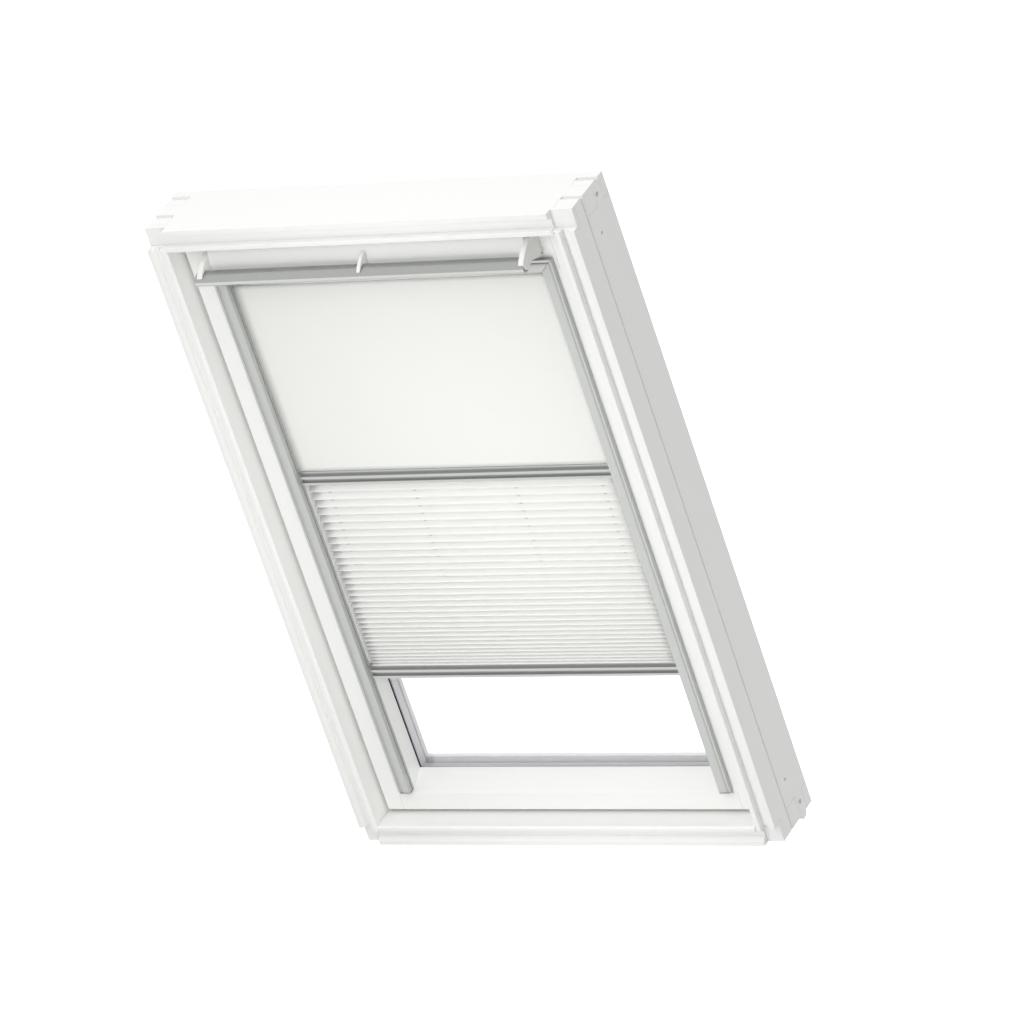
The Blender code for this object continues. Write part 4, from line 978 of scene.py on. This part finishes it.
class ROOFWINDOW_OT_seals(bpy.types.Operator):
    """Weather seals between the frame and the sash"""

    bl_idname = "roof_window.make_seals"
    bl_label = "Seals"

    def execute(self, context):
        sizes, colours = context.scene.roof_window_sizes, context.scene.roof_window_colours
        rubber = extruded_rubber("epdm_weather_seal", colours)
        for node in SEALS:
            eased(node, rubber, sizes.plastic_edge)
        return {"FINISHED"}


class ROOFWINDOW_OT_hardware(bpy.types.Operator):
    """Zinc-plated hinges, latch and flap brackets"""

    bl_idname = "roof_window.make_hardware"
    bl_label = "Hinges and latch"

    def execute(self, context):
        sizes, colours = context.scene.roof_window_sizes, context.scene.roof_window_colours
        zinc = zinc_plated_steel("zinc_plated_steel", colours)
        for node in PRESSED_STEEL:
            eased(node, zinc, sizes.metal_edge)
        return {"FINISHED"}


class ROOFWINDOW_OT_screws(bpy.types.Operator):
    """Corner screws with a cross recess"""

    bl_idname = "roof_window.make_screws"
    bl_label = "Corner screws"

    def execute(self, context):
        sizes, colours = context.scene.roof_window_sizes, context.scene.roof_window_colours
        zinc = zinc_plated_steel("zinc_plated_screws", colours)
        recess_depth, blade_share = 1.8 * MILLIMETRE, 0.24
        blade_size = (2 * recess_depth, sizes.screw_recess, sizes.screw_recess * blade_share)
        for node in CORNER_SCREWS:
            low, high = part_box(node)
            middle = (low + high) / 2
            face = high.x if middle.x > 0 else low.x
            shape = welded_copy(node)
            for turn in (0, 90):
                blade = bmesh.new()
                bmesh.ops.create_cube(blade, size=1)
                bmesh.ops.scale(blade, vec=blade_size, verts=blade.verts)
                bmesh.ops.rotate(
                    blade,
                    matrix=Matrix.Rotation(math.radians(turn), 3, "X"),
                    verts=blade.verts,
                )
                bmesh.ops.translate(blade, vec=(face, middle.y, middle.z), verts=blade.verts)
                shape = cut(shape, blade)
            eased(node, zinc, sizes.metal_edge / 2, shape)
        return {"FINISHED"}


class ROOFWINDOW_OT_flap(bpy.types.Operator):
    """Ventilation flap with its control bar"""

    bl_idname = "roof_window.make_flap"
    bl_label = "Flap"

    def execute(self, context):
        sizes, colours = context.scene.roof_window_sizes, context.scene.roof_window_colours
        white = moulded_plastic("white_moulded_abs", colours.white_plastic, roughness=0.42)
        for node in FLAP_MOULDINGS:
            eased(node, white, sizes.plastic_edge)
        eased(
            "flap_panel",
            powder_coated_aluminium("white_powder_coat_panel", colours),
            sizes.metal_edge,
        )
        # The control bar's colour carries painted shade: the channels' anodised colour at 0.84
        metal = anodised_aluminium(
            "anodised_control_bar_painted_shade",
            colours.anodised_with_painted_shade,
            LEVEL_LINES,
            metal=1.0,
            roughness=0.24,
        )
        eased("control_bar", metal, sizes.metal_edge)
        return {"FINISHED"}


class ROOFWINDOW_OT_blind(bpy.types.Operator):
    """Casing, channels, roller and bars of the blind"""

    bl_idname = "roof_window.make_blind"
    bl_label = "Blind"

    def execute(self, context):
        sizes, colours = context.scene.roof_window_sizes, context.scene.roof_window_colours
        # The bars' and casing's colour carries painted shade: the channels' anodised colour at
        # 0.84
        level = anodised_aluminium(
            "anodised_bars_painted_shade",
            colours.anodised_with_painted_shade,
            LEVEL_LINES,
            metal=0.75,
            roughness=0.3,
        )
        upright = anodised_aluminium(
            "etched_anodised_channels",
            colours.anodised,
            UPRIGHT_LINES,
            metal=0.2,
            roughness=0.5,
        )
        for node in ("blind_casing", "mid_bar", "low_bar", "roller_tube"):
            eased(node, level, sizes.metal_edge)
        for node in ("channel_left", "channel_right"):
            eased(node, upright, sizes.metal_edge)
        grey = moulded_plastic("grey_moulded_nylon", colours.grey_plastic, roughness=0.5)
        for node in BLIND_MOULDINGS:
            eased(node, grey, sizes.plastic_edge)
        spring, thin_edge = oiled_spring_steel("oiled_spring_steel"), sizes.metal_edge / 5
        eased("roller_spring", spring, thin_edge)
        return {"FINISHED"}


class ROOFWINDOW_OT_blackout(bpy.types.Operator):
    """Blackout cloth from the roller to the middle bar"""

    bl_idname = "roof_window.make_blackout"
    bl_label = "Blackout cloth"

    def execute(self, context):
        sizes, colours = context.scene.roof_window_sizes, context.scene.roof_window_colours
        low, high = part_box("blackout_cloth")
        width, height = high.x - low.x, high.z - low.z
        middle = (low.y + high.y) / 2
        # The cloth isn't quite flat: shallow waves run down it and die out at its ends
        wave_depth, wave_rate = 0.12 * MILLIMETRE, 31
        bm = cloth_grid(columns=36, rows=48)
        for vert in bm.verts:
            x, up = vert.co.x * width, vert.co.y + 0.5
            wave = wave_depth * math.sin(x * wave_rate) * math.sin(math.pi * up)
            vert.co = (x, middle + wave, low.z + up * height)
        bmesh.ops.recalc_face_normals(bm, faces=bm.faces)
        cloth = placed(
            "blackout_cloth_sheet", bm, coated_blackout("coated_blackout_cloth", colours)
        )
        give_wall(cloth, sizes.blackout_thickness)
        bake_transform(cloth)
        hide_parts("blackout_cloth")
        return {"FINISHED"}


class ROOFWINDOW_OT_roll(bpy.types.Operator):
    """Turns of blackout cloth on the roller"""

    bl_idname = "roof_window.make_roll"
    bl_label = "Cloth roll"

    def execute(self, context):
        sizes, colours = context.scene.roof_window_sizes, context.scene.roof_window_colours
        low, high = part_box("cloth_roll")
        tube_low, tube_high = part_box("roller_tube")
        middle = (low + high) / 2
        outer = (high.z - low.z) / 2 - sizes.blackout_thickness / 2
        inner = (tube_high.z - tube_low.z) / 2 + sizes.blackout_thickness / 2
        width = high.x - low.x
        rows_per_turn = 40
        bm = cloth_grid(columns=4, rows=sizes.roll_turns * rows_per_turn)
        for vert in bm.verts:
            along = vert.co.y + 0.5
            radius = inner + (outer - inner) * along
            angle = along * sizes.roll_turns * math.tau + math.radians(90)
            vert.co = (
                vert.co.x * width + middle.x,
                middle.y + radius * math.cos(angle),
                middle.z + radius * math.sin(angle),
            )
        bmesh.ops.recalc_face_normals(bm, faces=bm.faces)
        roll = placed("cloth_roll_wound", bm, coated_blackout("rolled_blackout_cloth", colours))
        give_wall(roll, sizes.blackout_thickness)
        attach(roll, "roller")
        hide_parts("cloth_roll")
        return {"FINISHED"}


class ROOFWINDOW_OT_pleated(bpy.types.Operator):
    """Pleated cloth between the middle and the lower bar"""

    bl_idname = "roof_window.make_pleated"
    bl_label = "Pleated cloth"

    def execute(self, context):
        sizes, colours = context.scene.roof_window_sizes, context.scene.roof_window_colours
        low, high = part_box("pleated_cloth")
        width, height = high.x - low.x, high.z - low.z
        middle = (low.y + high.y) / 2
        depth_half = (high.y - low.y) / 2 - sizes.pleated_thickness
        faces = 2 * sizes.pleats
        rows_per_face = 6
        # The folds' profile runs from a round wave at 0 to a zigzag at 1
        sharpness = 0.985
        # Height of a face over the mean one: the top share, and a power of the way down
        top, closing = sizes.pleat_top_share, sizes.pleat_closing
        close_up = (sizes.pleat_low_share - top) / (closing + 1)
        # Each fold sags in a slow and a quick wave along it, and no two folds are alike
        slow_sag, slow_rate, slow_shift = 0.22 * MILLIMETRE, 19, 2.3
        quick_sag, quick_rate = 0.14 * MILLIMETRE, 47
        bm = cloth_grid(columns=28, rows=faces * rows_per_face)
        uv = bm.loops.layers.uv["cloth"]
        for face in bm.faces:
            for loop in face.loops:
                u, v = loop[uv].uv
                loop[uv].uv = ((u - 0.5) * width, (1 - v) * faces)
        for vert in bm.verts:
            down = 0.5 - vert.co.y
            step = down * faces
            fallen = (top * down + close_up * down ** (closing + 1)) / (top + close_up)
            wave = -math.asin(sharpness * math.cos(math.pi * step)) / math.asin(sharpness)
            x = vert.co.x * width
            fold = round(step / 2)
            sag = slow_sag * math.sin(x * slow_rate + fold * slow_shift)
            sag += quick_sag * math.sin(x * quick_rate - fold)
            sag *= math.sqrt(math.sin(math.pi * down)) if 0 < down < 1 else 0
            vert.co = (x, middle + wave * depth_half, high.z - fallen * height + sag)
        bmesh.ops.recalc_face_normals(bm, faces=bm.faces)
        area = sum(face.calc_area() for face in bm.faces)
        # Where the slots' painted shade goes: two columns each side of the middle, low on each
        # face
        look = pleated_nonwoven(
            "pleated_polyester",
            colours,
            columns=(0.0935, 0.2525),
            half_width=3 * MILLIMETRE,
            half_height=0.07,
            place_on_face=0.84,
        )
        cloth = placed("pleated_cloth_sheet", bm, look)
        give_wall(cloth, sizes.pleated_thickness)
        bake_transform(cloth)
        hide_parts("pleated_cloth")
        return {"FINISHED"}


def lay_floor(stage):
    """A matt pale floor, which the background's rays see as white."""
    bm = bmesh.new()
    bmesh.ops.create_grid(bm, x_segments=8, y_segments=8, size=stage.floor_size / 2)
    bmesh.ops.translate(bm, vec=(0, 0, -stage.floor_drop), verts=bm.verts)
    material, tree, shader = new_material("pale_studio_floor")
    tree.nodes.remove(shader)
    grey = [stage.floor_grey] * 3 + [1]
    matt = add(tree, "ShaderNodeBsdfDiffuse", {"Color": grey})
    glow = add(tree, "ShaderNodeEmission", {"Strength": background_rays(tree)})
    both = add(
        tree,
        "ShaderNodeAddShader",
        {0: matt.outputs["BSDF"], 1: glow.outputs["Emission"]},
    )
    wire(tree, tree.nodes["Material Output"], {"Surface": both.outputs["Shader"]})
    placed("studio_floor", bm, material)


def light_world(scene, stage):
    """Soft light from two banks, behind and before the window, and from overhead, before a
    white background."""
    banks_meet, overhead_power = 0.2, 4.0
    world = bpy.data.worlds.new("soft_studio")
    world.use_nodes = True
    scene.world = world
    tree = world.node_tree
    place = add(tree, "ShaderNodeTexCoord")
    axes = add(tree, "ShaderNodeSeparateXYZ", {"Vector": place.outputs["Generated"]})
    banks = add(
        tree,
        "ShaderNodeMapRange",
        {
            "Value": axes.outputs["Y"],
            "From Min": banks_meet,
            "From Max": -banks_meet,
            "To Min": stage.back_light,
            "To Max": stage.front_light,
        },
        interpolation_type="SMOOTHSTEP",
    )
    above = add(tree, "ShaderNodeMath", {0: axes.outputs["Z"], 1: 0.0}, operation="MAXIMUM")
    crown = add(
        tree,
        "ShaderNodeMath",
        {0: above.outputs["Value"], 1: overhead_power},
        operation="POWER",
    )
    soft = add(
        tree,
        "ShaderNodeMath",
        {0: crown.outputs["Value"], 1: stage.overhead_light, 2: banks.outputs["Result"]},
        operation="MULTIPLY_ADD",
    )
    level = add(
        tree,
        "ShaderNodeMix",
        {0: background_rays(tree), 2: soft.outputs["Value"], 3: 1.0},
        data_type="FLOAT",
    )
    wire(tree, tree.nodes["Background"], {"Strength": level.outputs[0], "Color": (1, 1, 1, 1)})


def hang_softbox(scene, name, power, size, stand, target):
    """A softbox that lights the window, and that no reflection or glass shows."""
    softbox = bpy.data.lights.new(name, "AREA")
    softbox.shape = "RECTANGLE"
    softbox.size, softbox.size_y = size
    softbox.energy = power
    lamp = bpy.data.objects.new(name, softbox)
    scene.collection.objects.link(lamp)
    turn = (target - stand).to_track_quat("-Z", "Y").to_matrix().to_4x4()
    lamp.matrix_world = Matrix.Translation(stand) @ turn
    lamp.visible_camera = False
    lamp.visible_glossy = False
    lamp.visible_transmission = False


def set_camera(scene, stage):
    """The camera at the photograph's viewing angle."""
    data = bpy.data.cameras.new("photograph_view")
    data.lens = stage.lens
    data.sensor_width = 36
    data.sensor_fit = "HORIZONTAL"
    data.clip_end = 200
    camera = bpy.data.objects.new("photograph_view", data)
    scene.collection.objects.link(camera)
    sight = CAMERA_SIGHT.normalized()
    turn = sight.to_track_quat("-Z", "Y").to_matrix().to_4x4()
    roll = Matrix.Rotation(CAMERA_ROLL, 4, "Z")
    stand = CAMERA_AIM - sight * stage.camera_distance
    camera.matrix_world = Matrix.Translation(stand) @ turn @ roll
    scene.camera = camera


class ROOFWINDOW_OT_stage(bpy.types.Operator):
    """Floor, soft studio light and the camera"""

    bl_idname = "roof_window.make_stage"
    bl_label = "Stage"

    def execute(self, context):
        scene = context.scene
        stage = scene.roof_window_stage
        scene.view_settings.view_transform = "Standard"
        lay_floor(stage)
        light_world(scene, stage)
        hang_softbox(
            scene,
            "upright_softbox",
            stage.softbox_light,
            size=(0.30, 1.5),
            stand=Vector((0.20, -0.80, 0.50)),
            target=Vector((-0.30, 0.05, 0.40)),
        )
        hang_softbox(
            scene,
            "top_softbox",
            stage.top_softbox_light,
            size=(0.70, 0.70),
            stand=Vector((0.02, -1.30, 2.00)),
            target=Vector((0.0, 0.0, 0.40)),
        )
        set_camera(scene, stage)
        return {"FINISHED"}


STEPS = (
    ROOFWINDOW_OT_timber,
    ROOFWINDOW_OT_glazing,
    ROOFWINDOW_OT_seals,
    ROOFWINDOW_OT_hardware,
    ROOFWINDOW_OT_screws,
    ROOFWINDOW_OT_flap,
    ROOFWINDOW_OT_blind,
    ROOFWINDOW_OT_blackout,
    ROOFWINDOW_OT_roll,
    ROOFWINDOW_OT_pleated,
    ROOFWINDOW_OT_stage,
)


class ROOFWINDOW_PT_panel(bpy.types.Panel):
    """Lists the window's sizes, colours and making steps"""

    bl_idname = "ROOFWINDOW_PT_panel"
    bl_label = "Roof window"
    bl_space_type = "VIEW_3D"
    bl_region_type = "UI"
    bl_category = "Roof window"

    def draw(self, context):
        layout = self.layout
        scene = context.scene
        for group in (
            scene.roof_window_sizes,
            scene.roof_window_colours,
            scene.roof_window_stage,
        ):
            box = layout.box()
            for name in group.bl_rna.properties.keys():
                if name not in ("rna_type", "name"):
                    box.prop(group, name)
        for step in STEPS:
            layout.operator(step.bl_idname)


CLASSES = (RoofWindowSizes, RoofWindowColours, RoofWindowStage, *STEPS, ROOFWINDOW_PT_panel)


def register():
    for cls in CLASSES:
        bpy.utils.register_class(cls)
    bpy.types.Scene.roof_window_sizes = PointerProperty(type=RoofWindowSizes)
    bpy.types.Scene.roof_window_colours = PointerProperty(type=RoofWindowColours)
    bpy.types.Scene.roof_window_stage = PointerProperty(type=RoofWindowStage)


def unregister():
    del bpy.types.Scene.roof_window_stage
    del bpy.types.Scene.roof_window_colours
    del bpy.types.Scene.roof_window_sizes
    for cls in reversed(CLASSES):
        bpy.utils.unregister_class(cls)


def main():
    register()
    bpy.ops.roof_window.make_timber()
    bpy.ops.roof_window.make_glazing()
    bpy.ops.roof_window.make_seals()
    bpy.ops.roof_window.make_hardware()
    bpy.ops.roof_window.make_screws()
    bpy.ops.roof_window.make_flap()
    bpy.ops.roof_window.make_blind()
    bpy.ops.roof_window.make_blackout()
    bpy.ops.roof_window.make_roll()
    bpy.ops.roof_window.make_pleated()
    bpy.ops.roof_window.make_stage()


if __name__ == "__main__":
    main()
